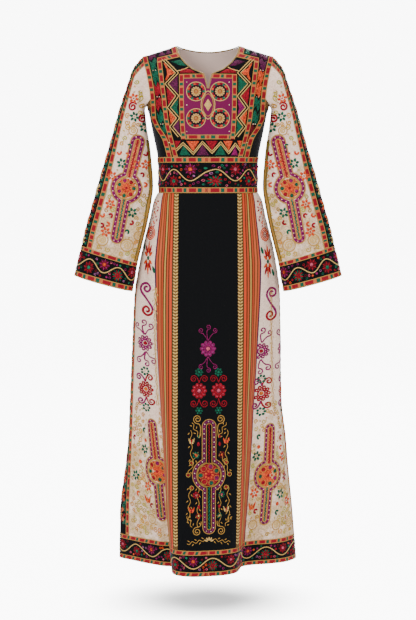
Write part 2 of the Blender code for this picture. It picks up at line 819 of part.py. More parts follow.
def build_sleeves(rings):
    looks = {"band": "patch", "tape": "coral", "front": "cream", "back": "velvet",
             "cuff": "velvet", "cuff_top": "coral", "cuff_bottom": "coral"}
    for sign in (1, -1):
        form = sleeve_form(rings[sign], sign)
        for part, name in sleeve_names(sign).items():
            rise = BRAID_RISE if "tape" in name else 0.0
            build_solid(name, form, form["cells"][name], -CLOTH, rise, looks[part], -sign)


def build_belt():
    form = belt_form()
    for name, colour in (("belt", "velvet"), ("belt_top_tape", "coral"),
                         ("belt_bottom_tape", "coral")):
        rise = BRAID_RISE if "tape" in name else 0.0
        build_solid(name, form, form["cells"][name], -CLOTH, rise, colour)


def build_skirt():
    form = skirt_form()
    for name, cells in form["cells"].items():
        raised = "tape" in name or "braid" in name
        colour = "velvet"
        if "cream" in name:
            colour = "cream"
        elif "stripes" in name:
            colour = "coral"
        elif "braid" in name:
            colour = "gold"
        elif "tape" in name:
            colour = "coral"
        build_solid(name, form, cells, -CLOTH, BRAID_RISE if raised else 0.0, colour)


def build():
    for thing in list(bpy.data.objects):
        bpy.data.objects.remove(thing, do_unlink=True)
    rings = build_bodice()
    build_sleeves(rings)
    build_belt()
    build_skirt()


build()
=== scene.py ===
import math
from math import cos, hypot, pi, radians, sin
import random
import bpy
import numpy as np
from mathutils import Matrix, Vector


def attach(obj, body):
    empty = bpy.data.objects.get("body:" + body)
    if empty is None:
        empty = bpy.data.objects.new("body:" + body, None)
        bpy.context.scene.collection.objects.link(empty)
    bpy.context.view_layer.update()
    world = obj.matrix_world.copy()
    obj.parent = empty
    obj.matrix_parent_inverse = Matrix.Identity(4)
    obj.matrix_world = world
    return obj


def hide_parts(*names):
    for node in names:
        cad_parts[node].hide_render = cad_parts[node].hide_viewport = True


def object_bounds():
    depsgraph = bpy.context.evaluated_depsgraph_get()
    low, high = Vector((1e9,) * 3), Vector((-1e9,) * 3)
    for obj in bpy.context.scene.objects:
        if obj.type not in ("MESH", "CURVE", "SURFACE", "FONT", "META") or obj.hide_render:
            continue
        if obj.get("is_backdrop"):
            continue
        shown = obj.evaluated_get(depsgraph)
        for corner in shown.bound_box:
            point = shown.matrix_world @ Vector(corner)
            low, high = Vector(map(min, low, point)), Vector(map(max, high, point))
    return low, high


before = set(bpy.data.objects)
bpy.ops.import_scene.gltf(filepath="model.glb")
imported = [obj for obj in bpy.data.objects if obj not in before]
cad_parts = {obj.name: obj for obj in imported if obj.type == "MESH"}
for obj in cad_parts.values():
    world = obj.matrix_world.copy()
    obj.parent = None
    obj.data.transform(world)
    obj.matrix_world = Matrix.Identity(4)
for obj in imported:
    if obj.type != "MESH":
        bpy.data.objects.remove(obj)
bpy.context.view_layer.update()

# Skirt: front centre
# A straight panel of black silk velvet, the middle of the front. It is cut to the floor with no gathers,
# and its two long edges lie under gold braid. The whole skirt hangs from the belt in soft flutes.
WAIST_Z, HIP_Z, HEM_Z, HEM_BAND_Z = -0.4024, -0.5915, -1.4342, -1.3641
CLOTH = 0.0016
BODY_POWER = 2.4


def table(columns, *rows):
    return {"columns": columns, "rows": rows}


SKIRT = table(
    ("z", "left", "right", "front", "back"),
    (-0.4024, 0.1386, 0.1386, 0.102, 0.09),
    (-0.4224, 0.1491, 0.1491, 0.108, 0.098),
    (-0.467, 0.1591, 0.1591, 0.115, 0.108),
    (-0.5416, 0.1783, 0.1783, 0.122, 0.118),
    (-0.5965, 0.19, 0.189, 0.127, 0.124),
    (-0.6815, 0.2048, 0.2003, 0.132, 0.13),
    (-0.8121, 0.2128, 0.2038, 0.138, 0.134),
    (-0.9839, 0.2226, 0.2086, 0.144, 0.138),
    (-1.0855, 0.2281, 0.2201, 0.147, 0.139),
    (-1.1569, 0.2343, 0.2254, 0.15, 0.14),
    (-1.3003, 0.2493, 0.2392, 0.155, 0.14),
    (-1.4342, 0.251, 0.25, 0.16, 0.14),
)
FOLDS = table(
    ("fold", "side", "turn", "hem_x", "hem_y"),
    ("front_centre", 1, 0, 0.000, -0.214),
    ("front_quarter", 1, 16, 0.041, -0.203),
    ("lobe_edge", 1, 33, 0.074, -0.178),
    ("step_side", 1, 42, 0.086, -0.142),
    ("step_foot", 1, 51, 0.094, -0.108),
    ("cream_inner", 1, 60, 0.122, -0.091),
    ("cream_middle", 1, 69, 0.17, -0.078),
    ("cream_outer", 1, 79, 0.223, -0.05),
    ("side", 1, 90, 0.25, 0.000),
    ("back_corner", 1, 108, 0.225, 0.062),
    ("back_ridge", 1, 128, 0.167, 0.118),
    ("back_trough", 1, 146, 0.11, 0.106),
    ("back_crest", 1, 163, 0.056, 0.14),
    ("back_centre", 1, 180, 0.000, 0.124),
    ("back_crest", -1, 163, 0.061, 0.142),
    ("back_trough", -1, 146, 0.114, 0.108),
    ("back_ridge", -1, 128, 0.17, 0.116),
    ("back_corner", -1, 108, 0.229, 0.06),
    ("side", -1, 90, 0.251, 0.000),
    ("cream_outer", -1, 78, 0.208, -0.04),
    ("cream_middle", -1, 69, 0.162, -0.078),
    ("cream_inner", -1, 61, 0.121, -0.103),
    ("fold_trough", -1, 53, 0.091, -0.112),
    ("fold_crest", -1, 44, 0.099, -0.15),
    ("lobe_edge", -1, 34, 0.083, -0.205),
    ("front_quarter", -1, 17, 0.043, -0.22),
)


def read(table, name, value):
    """Smoothly read a named column of a table at one or many values of its first column."""
    place = table["columns"].index(name)
    pairs = sorted((row[0], row[place]) for row in table["rows"])
    keys = np.array([pair[0] for pair in pairs])
    values = np.array([pair[1] for pair in pairs])
    value = np.clip(np.asarray(value, float), keys[0], keys[-1])
    k = np.clip(np.searchsorted(keys, value, side="right") - 1, 0, len(keys) - 2)
    slopes = np.diff(values) / np.diff(keys)
    tangents = np.concatenate(([slopes[0]], np.zeros(len(slopes) - 1), [slopes[-1]]))
    both = slopes[:-1] * slopes[1:] > 0
    tangents[1:-1][both] = (2 * slopes[:-1] * slopes[1:])[both] / (slopes[:-1] + slopes[1:])[both]
    step = keys[k + 1] - keys[k]
    t = (value - keys[k]) / step
    first = (1 + 2 * t) * (1 - t) ** 2 * values[k] + t * t * (3 - 2 * t) * values[k + 1]
    return first + step * (t * (1 - t) ** 2 * tangents[k] + t * t * (t - 1) * tangents[k + 1])


def stacked(*parts):
    """Points from the arrays of their coordinates."""
    return np.stack(np.broadcast_arrays(*parts), axis=-1)


def mix(first, second, amount):
    return first + (second - first) * amount


def run_length(points):
    """The distance along a line of points, from 0 at its first."""
    return np.concatenate(([0.0], np.cumsum(np.linalg.norm(np.diff(points, axis=0), axis=1))))


def signed_power(value, power):
    return np.sign(value) * np.abs(value) ** power


def closed_curve(corners, steps):
    """A smooth closed curve through its corners, with so many points to each."""
    after = np.roll(corners, -1, axis=0)
    spans = np.linalg.norm(after - corners, axis=1)
    before_span = np.roll(spans, 1)
    forward = (after - corners) / spans[:, None]
    backward = np.roll(forward, 1, axis=0)
    slopes = mix(backward, forward, (before_span / (before_span + spans))[:, None])
    after_slopes = np.roll(slopes, -1, axis=0)
    t = (np.arange(steps) / steps)[None, :, None]
    points = (1 + 2 * t) * (1 - t) ** 2 * corners[:, None] + t * t * (3 - 2 * t) * after[:, None]
    points = points + spans[:, None, None] * t * (1 - t) ** 2 * slopes[:, None]
    points = points + spans[:, None, None] * t * t * (t - 1) * after_slopes[:, None]
    points = points.reshape(-1, 2)
    return np.vstack((points, points[:1]))


def skirt_ring(z):
    growth = min(1.0, max(0.0, (HIP_Z - z) / (HIP_Z - HEM_Z)))
    corners = []
    for _, side, turn, hem_x, hem_y in FOLDS["rows"]:
        name = "right" if side > 0 else "left"
        half, hem_half = float(read(SKIRT, name, z)), float(read(SKIRT, name, HEM_Z))
        angle = radians(turn)
        depth = float(read(SKIRT, "front" if turn < 90 else "back", z))
        wide = abs(sin(angle)) ** (2 / BODY_POWER)
        deep = math.copysign(abs(cos(angle)) ** (2 / BODY_POWER), cos(angle))
        corners.append((side * half * mix(wide, hem_x / hem_half, growth),
                        mix(-depth * deep, hem_y, growth)))
    return closed_curve(np.array(corners), 24)


SKIRT_STEPS = 720
skirt_levels = np.linspace(WAIST_Z, HEM_Z, 120)
skirt_rings = []
skirt_lengths = []
for level in skirt_levels:
    ring = skirt_ring(float(level))
    run = run_length(ring)
    even = np.linspace(0, run[-1], SKIRT_STEPS + 1)
    skirt_rings.append(np.stack([np.interp(even, run, ring[:, k]) for k in (0, 1)], axis=1))
    skirt_lengths.append(run[-1])
skirt_rings = np.array(skirt_rings)
skirt_lengths = np.array(skirt_lengths)

# Soft troughs and ridges: where each starts and ends along the ring, in metres from the front centre
CREASE_COLUMNS = ("crease", "top_place", "top_z", "low_place", "low_z", "width", "depth")
SKIRT_CREASES = table(
    CREASE_COLUMNS,
    ("centre_left", -0.046, -0.42, -0.052, -1.36, 0.017, -0.0028),
    ("centre_middle", 0.006, -0.46, 0.01, -1.22, 0.014, 0.002),
    ("centre_right", 0.04, -0.44, 0.046, -1.34, 0.015, -0.0026),
    ("belly_left", -0.115, -0.43, -0.15, -0.78, 0.016, -0.0035),
    ("belly_right", 0.112, -0.43, 0.15, -0.86, 0.016, -0.0032),
    ("cream_left_upper", -0.172, -0.45, -0.226, -1.02, 0.015, -0.0045),
    ("cream_left_lower", -0.232, -0.86, -0.262, -1.41, 0.019, -0.005),
    ("cream_right_upper", 0.178, -0.44, 0.236, -0.98, 0.014, -0.0042),
    ("cream_right_lower", 0.215, -0.9, 0.246, -1.4, 0.017, 0.004),
    ("cream_right_outer", 0.262, -0.8, 0.312, -1.41, 0.018, -0.005),
    ("side_left", -0.278, -0.52, -0.372, -1.4, 0.019, -0.005),
    ("side_right", 0.282, -0.5, 0.38, -1.4, 0.019, -0.005),
    ("back_right", 0.352, -0.44, 0.47, -1.4, 0.024, -0.0065),
    ("back_left", -0.35, -0.44, -0.52, -1.38, 0.024, -0.006),
    ("back_middle_right", 0.372, -0.6, 0.61, -1.42, 0.022, 0.005),
    ("back_middle_left", -0.368, -0.56, -0.64, -1.42, 0.026, -0.0055),
)


def crease_height(table, place, z):
    """How far the creases move the cloth out or in at a place on the cloth."""
    total = np.zeros(np.broadcast(place, z).shape)
    for _, top_place, top_z, low_place, low_z, width, depth in table["rows"]:
        along = (top_z - z) / (top_z - low_z)
        line = mix(top_place, low_place, along) + 0.004 * np.sin(along * 5.0 + low_place * 40)
        fade = np.clip(along * 3.0, 0, 1) * np.clip((1 - along) * 3.5 + 0.25, 0, 1)
        fade = np.where(along < 0, 0, fade)
        total = total + depth * fade * np.exp(-((place - line) / width) ** 2)
    return total


def skirt_length(z):
    return np.interp(-z, -skirt_levels, skirt_lengths)


def skirt_base(place, z):
    level = np.clip((z - skirt_levels[0]) / (skirt_levels[1] - skirt_levels[0]), 0,
                    len(skirt_levels) - 1.001)
    low = level.astype(int)
    part = (level - low)[..., None]
    length = mix(skirt_lengths[low], skirt_lengths[low + 1], level - low)
    turn = np.mod(place / length, 1.0) * SKIRT_STEPS
    step = np.minimum(turn.astype(int), SKIRT_STEPS - 1)
    share = (turn - step)[..., None]
    near = mix(skirt_rings[low, step], skirt_rings[low, step + 1], share)
    far = mix(skirt_rings[low + 1, step], skirt_rings[low + 1, step + 1], share)
    plan = mix(near, far, part)
    return stacked(plan[..., 0], plan[..., 1], z)


def paired(first, second):
    """Two numbers or arrays as arrays of one shape."""
    return np.broadcast_arrays(np.asarray(first, float), np.asarray(second, float))


def on_form(base, first, second, lift, step=0.0012):
    """A point of a form moved out along its normal. The first axis runs right as seen from outside."""
    first, second = paired(first, second)
    across = base(first + step, second) - base(first - step, second)
    down = base(first, second - step) - base(first, second + step)
    normal = np.cross(down, across)
    normal = normal / np.maximum(np.linalg.norm(normal, axis=-1, keepdims=True), 1e-12)
    return base(first, second) + normal * np.asarray(lift)[..., None]


def skirt_at(place, z, lift):
    place, z = paired(place, z)
    length = skirt_length(z)
    signed = np.where(place > length / 2, place - length, place)
    height = crease_height(SKIRT_CREASES, signed, z)
    return on_form(skirt_base, place, z, height + lift)


def make_mesh(name, points, faces, material, uv=None, tints=None, slots=None):
    """A mesh object on the dress body, with an optional UV layer and colour attribute per point."""
    mesh = bpy.data.meshes.new(name)
    mesh.from_pydata(np.asarray(points).reshape(-1, 3).tolist(), [], faces)
    thing = bpy.data.objects.new(name, mesh)
    bpy.context.scene.collection.objects.link(thing)
    for one in material:
        mesh.materials.append(one)
    loops = np.zeros(len(mesh.loops), np.int32)
    mesh.loops.foreach_get("vertex_index", loops)
    if uv is not None:
        layer = mesh.uv_layers.new(name="cloth")
        layer.data.foreach_set("uv", np.asarray(uv, np.float32)[loops].ravel())
    if tints is not None:
        layer = mesh.color_attributes.new("tint", "FLOAT_COLOR", "POINT")
        layer.data.foreach_set("color", np.asarray(tints, np.float32).ravel())
    if slots is not None:
        mesh.polygons.foreach_set("material_index", np.asarray(slots, np.int32))
    mesh.polygons.foreach_set("use_smooth", [True] * len(mesh.polygons))
    mesh.update()
    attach(thing, "root")
    return thing


def shell(name, surface, first, second, material, thick=CLOTH, rise=0.0, uv=None, closed=False):
    """A closed thin wall over a grid. first and second are 2-D arrays: rows run down, columns right."""
    outer = surface(first, second, np.full(first.shape, rise))
    inner = surface(first, second, np.full(first.shape, rise - thick))
    rows, columns = first.shape
    count = rows * columns
    faces, slots = [], []
    last = columns if closed else columns - 1
    for i in range(rows - 1):
        for j in range(last):
            k = (j + 1) % columns
            a, b, c, d = i * columns + j, (i + 1) * columns + j, (i + 1) * columns + k, i * columns + k
            faces.append((a, b, c, d))
            faces.append((d + count, c + count, b + count, a + count))
            slots += [0, 1]
    for j in range(last):
        k = (j + 1) % columns
        top = (k, j, j + count, k + count)
        low = (rows - 1) * columns
        faces += [top, (low + j, low + k, low + k + count, low + j + count)]
        slots += [0, 0]
    if not closed:
        for i in range(rows - 1):
            a, b = i * columns, (i + 1) * columns
            faces.append((b, a, a + count, b + count))
            a, b = a + columns - 1, b + columns - 1
            faces.append((a, b, b + count, a + count))
            slots += [0, 0]
    points = np.concatenate((outer.reshape(-1, 3), inner.reshape(-1, 3)))
    if uv is None:
        uv = stacked(first, second)
    flat = np.asarray(uv).reshape(-1, 2)
    part = (points, faces, np.concatenate((flat, flat)), slots)
    return joined(name, [part], material) if name else part


def joined(name, parts, material):
    """One piece from one or more walls."""
    points, faces, uv, slots, count = [], [], [], [], 0
    for some, sides, flat, picks in parts:
        points.append(some)
        faces += [tuple(v + count for v in side) for side in sides]
        uv.append(flat)
        slots += picks
        count += len(some)
    made = make_mesh(name, np.vstack(points), faces, material, np.vstack(uv), slots=slots)
    made.data.set_sharp_from_angle(angle=radians(60))
    return made


def declare(piece, node, slot_name, **cut):
    """Hide the CAD solid that a piece replaces. Its material slot and flat cut are given but not used."""
    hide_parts(node)


SEAM = 0.00015
SKIRT_TOP_Z, SKIRT_LOW_Z, SKIRT_FALL = WAIST_Z - 0.0003, HEM_BAND_Z - 0.0008, 0.954


def skirt_grid(start, end, rows, columns):
    """Rows of places on the skirt between two edges, each a function of z."""
    share, z = np.meshgrid(np.linspace(0, 1, columns), np.linspace(SKIRT_TOP_Z, SKIRT_LOW_Z, rows))
    return mix(start(z), end(z), share), z


def new_material(name, colour, rough, metallic=0.0, sheen=0.0, tint=None, coat=0.0):
    material = bpy.data.materials.new(name)
    material.use_nodes = True
    shader = material.node_tree.nodes["Principled BSDF"]
    shader.inputs["Base Color"].default_value = (*colour, 1.0)
    shader.inputs["Roughness"].default_value = rough
    shader.inputs["Metallic"].default_value = metallic
    shader.inputs["Sheen Weight"].default_value = sheen
    shader.inputs["Sheen Roughness"].default_value = 0.35
    shader.inputs["Coat Weight"].default_value = coat
    shader.inputs["Specular IOR Level"].default_value = 0.12
    if tint:
        shader.inputs["Sheen Tint"].default_value = (*tint, 1.0)
    return material


def add_node(material, kind, **values):
    node = material.node_tree.nodes.new(kind)
    for key, value in values.items():
        setattr(node, key, value)
    return node


def join(material, source, target):
    material.node_tree.links.new(source, target)


def feed(material, socket, value):
    """Give a socket a number, a colour or another node's output."""
    if isinstance(value, tuple):
        socket.default_value = (*value, 1)
    elif isinstance(value, (int, float)):
        socket.default_value = value
    else:
        join(material, value, socket)


def paint(material, colour):
    join(material, colour, material.node_tree.nodes["Principled BSDF"].inputs["Base Color"])


def add_bump(material, height, strength, distance):
    shader = material.node_tree.nodes["Principled BSDF"]
    bump = add_node(material, "ShaderNodeBump")
    bump.inputs["Strength"].default_value = strength
    bump.inputs["Distance"].default_value = distance
    join(material, height, bump.inputs["Height"])
    join(material, bump.outputs["Normal"], shader.inputs["Normal"])


def grain(material, scale, detail=3.0):
    """Noise in the piece's own coordinates, in metres."""
    place = add_node(material, "ShaderNodeTexCoord")
    noise = add_node(material, "ShaderNodeTexNoise")
    noise.inputs["Scale"].default_value = scale
    noise.inputs["Detail"].default_value = detail
    join(material, place.outputs["Object"], noise.inputs["Vector"])
    return noise


def rough_up(material, scale, strength, distance, detail=3.0):
    """Relief from fine noise. It gives back the noise."""
    noise = grain(material, scale, detail).outputs["Fac"]
    add_bump(material, noise, strength, distance)
    return noise


velvet = new_material("black_velvet", (0.0024, 0.0026, 0.0032), 0.95, sheen=0.8, tint=(0.34, 0.35, 0.39))
rough_up(velvet, 900, 0.25, 0.0006)
dark_lining = new_material("dark_lining", (0.006, 0.006, 0.007), 0.85, sheen=0.03, tint=(0.4, 0.4, 0.4))
rough_up(dark_lining, 1200, 0.2, 0.0004)

STRIPS = table(
    ("strip", "waist", "hip", "hem"),
    ("centre", 0.0815, 0.0818, 0.0842),
    ("braid", 0.0119, 0.0135, 0.0137),
    ("stripes", 0.0437, 0.0578, 0.0629),
    ("cream", 0.0526, 0.0768, 0.1826),
    ("side_tape", 0.0079, 0.012, 0.0127),
    ("side_band", 0.0298, 0.0419, 0.0669),
    ("edge_braid", 0.0079, 0.011, 0.0127),
)


def strip_edge(strip, z, end=True):
    """The distance along the cloth from the front centre to a strip's near or far edge."""
    total = np.zeros(np.shape(z))
    for name, waist, hip, hem in STRIPS["rows"]:
        if name == strip and not end:
            return total
        upper = mix(hip, waist, np.clip((z - HIP_Z) / (WAIST_Z - HIP_Z), 0, 1))
        lower = mix(hip, hem, np.clip((HIP_Z - z) / (HIP_Z - HEM_Z), 0, 1))
        total = total + np.where(z > HIP_Z, upper, lower)
        if name == strip:
            return total


def edge_at(strip, z, end=True):
    """The same distance at one height, as a plain number."""
    return float(strip_edge(strip, z, end))


def strip_shell(strip, side, steps, material, slot_name, wide, area=None, rise=0.0):
    """A skirt strip on one side. Its UV runs across from 0 to 1, and along in metres."""
    rows, columns = steps
    edges = (lambda z: strip_edge(strip, z, False) + SEAM, lambda z: strip_edge(strip, z) - SEAM)
    first, second = skirt_grid(*edges[::side], rows, columns)
    share = np.linspace(0, 1, columns) if side > 0 else np.linspace(1, 0, columns)
    uv = stacked(share, second)
    name = "skirt_" + strip + ("_right" if side > 0 else "_left")
    made = shell(name + "_cloth", skirt_at, side * first, second, [material, dark_lining], rise=rise, uv=uv)
    declare(made, name, slot_name, flat=(wide, SKIRT_FALL), held="hung", area=area)
    return made


places = skirt_grid(lambda z: SEAM - strip_edge("centre", z), lambda z: strip_edge("centre", z) - SEAM, 120,
                    42)
skirt_centre = shell("skirt_front_centre_cloth", skirt_at, *places, [velvet, dark_lining])
declare(skirt_centre, "skirt_front_centre", "velvet", flat=(0.166, SKIRT_FALL), held="hung",
        rests_on=["belt_cloth"])

# Skirt: embroidery of the centre panel
# Raised silk and gold-thread work on the velvet: a magenta flower, two crimson flowers with scrolls, and a
# tall key-shaped motif with vines, tulips and hearts each side. It is couched and satin-stitched by hand.
CRIMSON, DEEP, CORAL = (0.26, 0.002, 0.012), (0.1, 0.002, 0.007), (0.6, 0.062, 0.014)
SALMON, ORANGE, PINK = (0.52, 0.12, 0.045), (0.62, 0.13, 0.015), (0.46, 0.07, 0.12)
GREEN, LEAF, OLIVE = (0.002, 0.08, 0.042), (0.005, 0.13, 0.068), (0.13, 0.095, 0.022)
MAGENTA, PLUM, LILAC = (0.2, 0.003, 0.08), (0.085, 0.005, 0.042), (0.24, 0.07, 0.18)
GOLD, STRAW, IVORY, BLACK = (0.44, 0.235, 0.05), (0.6, 0.38, 0.12), (0.74, 0.56, 0.38), (0.003, 0.003, 0.004)


def around(x, y, reach, count, turn=0.0):
    """Places evenly round a circle, each as its angle, x and y."""
    for k in range(count):
        angle = turn + 2 * pi * k / count
        yield angle, x + reach * cos(angle), y + reach * sin(angle)


class Needlework:
    """Raised stitches gathered in flat cloth coordinates, x to the right and y up, in metres."""

    def __init__(self, seed=1, gauge=1.25):
        self.points, self.faces, self.tints, self.count = [], [], [], 0
        self.gauge = gauge
        self.chance = random.Random(seed)

    def add(self, points, faces, tint):
        self.points.append(np.asarray(points, float))
        self.faces.append(np.asarray(faces, int) + self.count)
        self.tints.append(np.repeat([(*tint, 1.0)], len(points), 0))
        self.count += len(points)

    def dome(self, x, y, long, wide, angle, tint, height=0.0011, sides=8, tip=0.0):
        """A padded oval of satin stitch. tip narrows its far end to a leaf."""
        turn = np.arange(sides) / sides * 2 * pi
        u, v = np.cos(turn), np.sin(turn) * (1 - tip * (0.5 + 0.5 * np.cos(turn)))
        ring = stacked(u * long * cos(angle) - v * wide * sin(angle),
                         u * long * sin(angle) + v * wide * cos(angle))
        points = np.zeros((2 * sides + 1, 3))
        points[:sides, :2], points[sides:-1, :2] = ring, ring * 0.68
        points[:, 0] += x
        points[:, 1] += y
        points[:sides, 2], points[sides:-1, 2], points[-1, 2] = -0.0002, height * 0.85, height
        faces = []
        for k in range(sides):
            n = (k + 1) % sides
            faces += [(k, n, sides + n, sides + k), (sides + k, sides + n, 2 * sides, 2 * sides)]
        self.add(points, faces, tint)

    def cord(self, path, wide, tint, height=0.001, closed=False):
        """A couched cord along a flat path. Fine cords are thickened by the gauge."""
        path = np.asarray(path, float)
        wide = wide * self.gauge if wide < 0.0045 else wide
        if closed:
            path = np.vstack((path, path[:1]))
        tangent = np.gradient(path, axis=0)
        if closed:
            tangent[0] = tangent[-1] = path[1] - path[-2]
        tangent = tangent / np.maximum(np.linalg.norm(tangent, axis=1, keepdims=True), 1e-9)
        left = stacked(-tangent[:, 1], tangent[:, 0])
        points = []
        for share, rise in ((-0.5, -0.0002), (-0.22, height), (0.22, height), (0.5, -0.0002)):
            points.append(np.column_stack((path + left * wide * share, np.full(len(path), rise))))
        count = len(path)
        k = np.arange(count - 1)
        faces = [stacked(j * count + k, j * count + k + 1, (j + 1) * count + k + 1, (j + 1) * count + k)
                 for j in range(3)]
        self.add(np.vstack(points), np.vstack(faces), tint)

    def ring(self, x, y, radius, wide, tint, height=0.001, sides=20):
        turn = np.arange(sides) / sides * 2 * pi
        self.cord(stacked(x + radius * np.cos(turn), y + radius * np.sin(turn)), wide, tint, height, True)

    def spiral(self, x, y, radius, start, hand, wide, tint, turns=1.4, tail=None):
        """A scroll that winds inwards from its start angle, with an optional stem to a tail point."""
        t = np.linspace(0, 1, int(18 * turns))
        angle = start + hand * t * turns * 2 * pi
        reach = radius * (1 - 0.82 * t)
        path = stacked(x + reach * np.cos(angle), y + reach * np.sin(angle))
        if tail is not None:
            way = hand * radius * 1.1 * np.array((sin(start), -cos(start)))
            s = np.linspace(0, 1, 9)[:-1, None]
            bend = path[0] + way
            stem = (1 - s) ** 2 * np.array(tail) + 2 * s * (1 - s) * bend + s * s * path[0]
            path = np.vstack((stem, path))
        self.cord(path, wide, tint)

    def flower(self, x, y, radius, petals, tint, heart, turn=0.0, round_petals=True, heart_share=0.34):
        share, tip, most = (0.7, 0.0, 0.3) if round_petals else (0.62, 0.3, 0.34)
        wide = radius * min(most, (2.1 if round_petals else 1.95) / petals)
        long = wide * 1.05 if round_petals else radius * 0.38
        for angle, px, py in around(x, y, radius * share, petals, turn):
            self.dome(px, py, long, wide, angle, tint, 0.0013, 8, tip)
        self.dome(x, y, radius * heart_share, radius * heart_share, 0, heart, 0.0015, 10)

    def rosette(self, x, y, radius, petals, tint, edge, heart):
        """A flower of ringed petals, as on the velvet."""
        for angle, px, py in around(x, y, radius * 0.72, petals):
            self.dome(px, py, radius * 0.29, radius * 0.25, angle, tint, 0.0011, 8)
            self.dome(px, py, radius * 0.1, radius * 0.09, angle, edge, 0.0016, 6)
        self.ring(x, y, radius * 0.4, radius * 0.21 / self.gauge, tint, 0.0014, sides=14)
        self.dome(x, y, radius * 0.26, radius * 0.26, 0, heart, 0.0016, 10)

    def patch(self, corners, tint, height=0.0006, inset=0.12):
        """A flat patch of stitches with soft edges, from its corners counter-clockwise."""
        corners = np.asarray(corners, float)
        count = len(corners)
        area = (corners[:, 0] * np.roll(corners[:, 1], -1) - corners[:, 1] * np.roll(corners[:, 0],
                -1)).sum()
        if area < 0:
            corners = corners[::-1]
        middle = corners.mean(axis=0)
        points = np.zeros((2 * count + 1, 3))
        points[:count, :2], points[count:-1, :2], points[-1, :2] = corners, mix(corners, middle,
                inset), middle
        points[:count, 2], points[count:, 2] = -0.0002, height
        faces = []
        for k in range(count):
            n = (k + 1) % count
            faces += [(k, n, count + n, count + k), (count + k, count + n, 2 * count, 2 * count)]
        self.add(points, faces, tint)

    def widen(self, begin, centre, amount):
        """Widen the stitches added since a step, where the cloth turns away from the front."""
        for points in self.points[begin:]:
            points[:, 0] = centre + (points[:, 0] - centre) * amount

    def mirrored(self):
        other = Needlework(gauge=self.gauge)
        for points, faces, tints in zip(self.points, self.faces, self.tints):
            other.points.append(points * (-1, 1, 1))
            other.faces.append(faces[:, ::-1])
            other.tints.append(tints)
        other.count = self.count
        return other


def lay(name, work, surface, material, rise=0.0):
    """Lay gathered stitches on a form as one mesh."""
    points = np.vstack(work.points)
    faces = [[v for k, v in enumerate(face) if v != face[k - 1]] for face in np.vstack(work.faces).tolist()]
    make_mesh(name, surface(points[:, 0], points[:, 1], points[:, 2] + rise), faces, [material],
              tints=np.vstack(work.tints))


def lay_both(name, floss, gold, surface, tail="", rise=0.0):
    lay(name + "_silk" + tail, floss, surface, silk, rise)
    lay(name + "_gold" + tail, gold, surface, gilt, rise)


def map_range(material, value, from_low, from_high, to_low, to_high):
    node = add_node(material, "ShaderNodeMapRange")
    ends = (("From Min", from_low), ("From Max", from_high), ("To Min", to_low), ("To Max", to_high))
    for name, end in ends:
        node.inputs[name].default_value = end
    join(material, value, node.inputs["Value"])
    return node.outputs["Result"]


silk = new_material("silk_floss", (0.5, 0.1, 0.1), 0.6, sheen=0.03)
strand = rough_up(silk, 330, 0.6, 0.0006, 5.0)
dye = add_node(silk, "ShaderNodeAttribute", attribute_name="tint")
shaded = add_node(silk, "ShaderNodeVectorMath", operation="SCALE")
join(silk, dye.outputs["Color"], shaded.inputs[0])
join(silk, map_range(silk, strand, 0.36, 0.66, 0.3, 1.6), shaded.inputs["Scale"])
paint(silk, shaded.outputs[0])
gilt = new_material("gold_thread", (0.5, 0.3, 0.1), 0.5, metallic=0.25, sheen=0.03)
dye = add_node(gilt, "ShaderNodeAttribute", attribute_name="tint")
paint(gilt, dye.outputs["Color"])
rough_up(gilt, 1400, 0.5, 0.0005, 2.0)


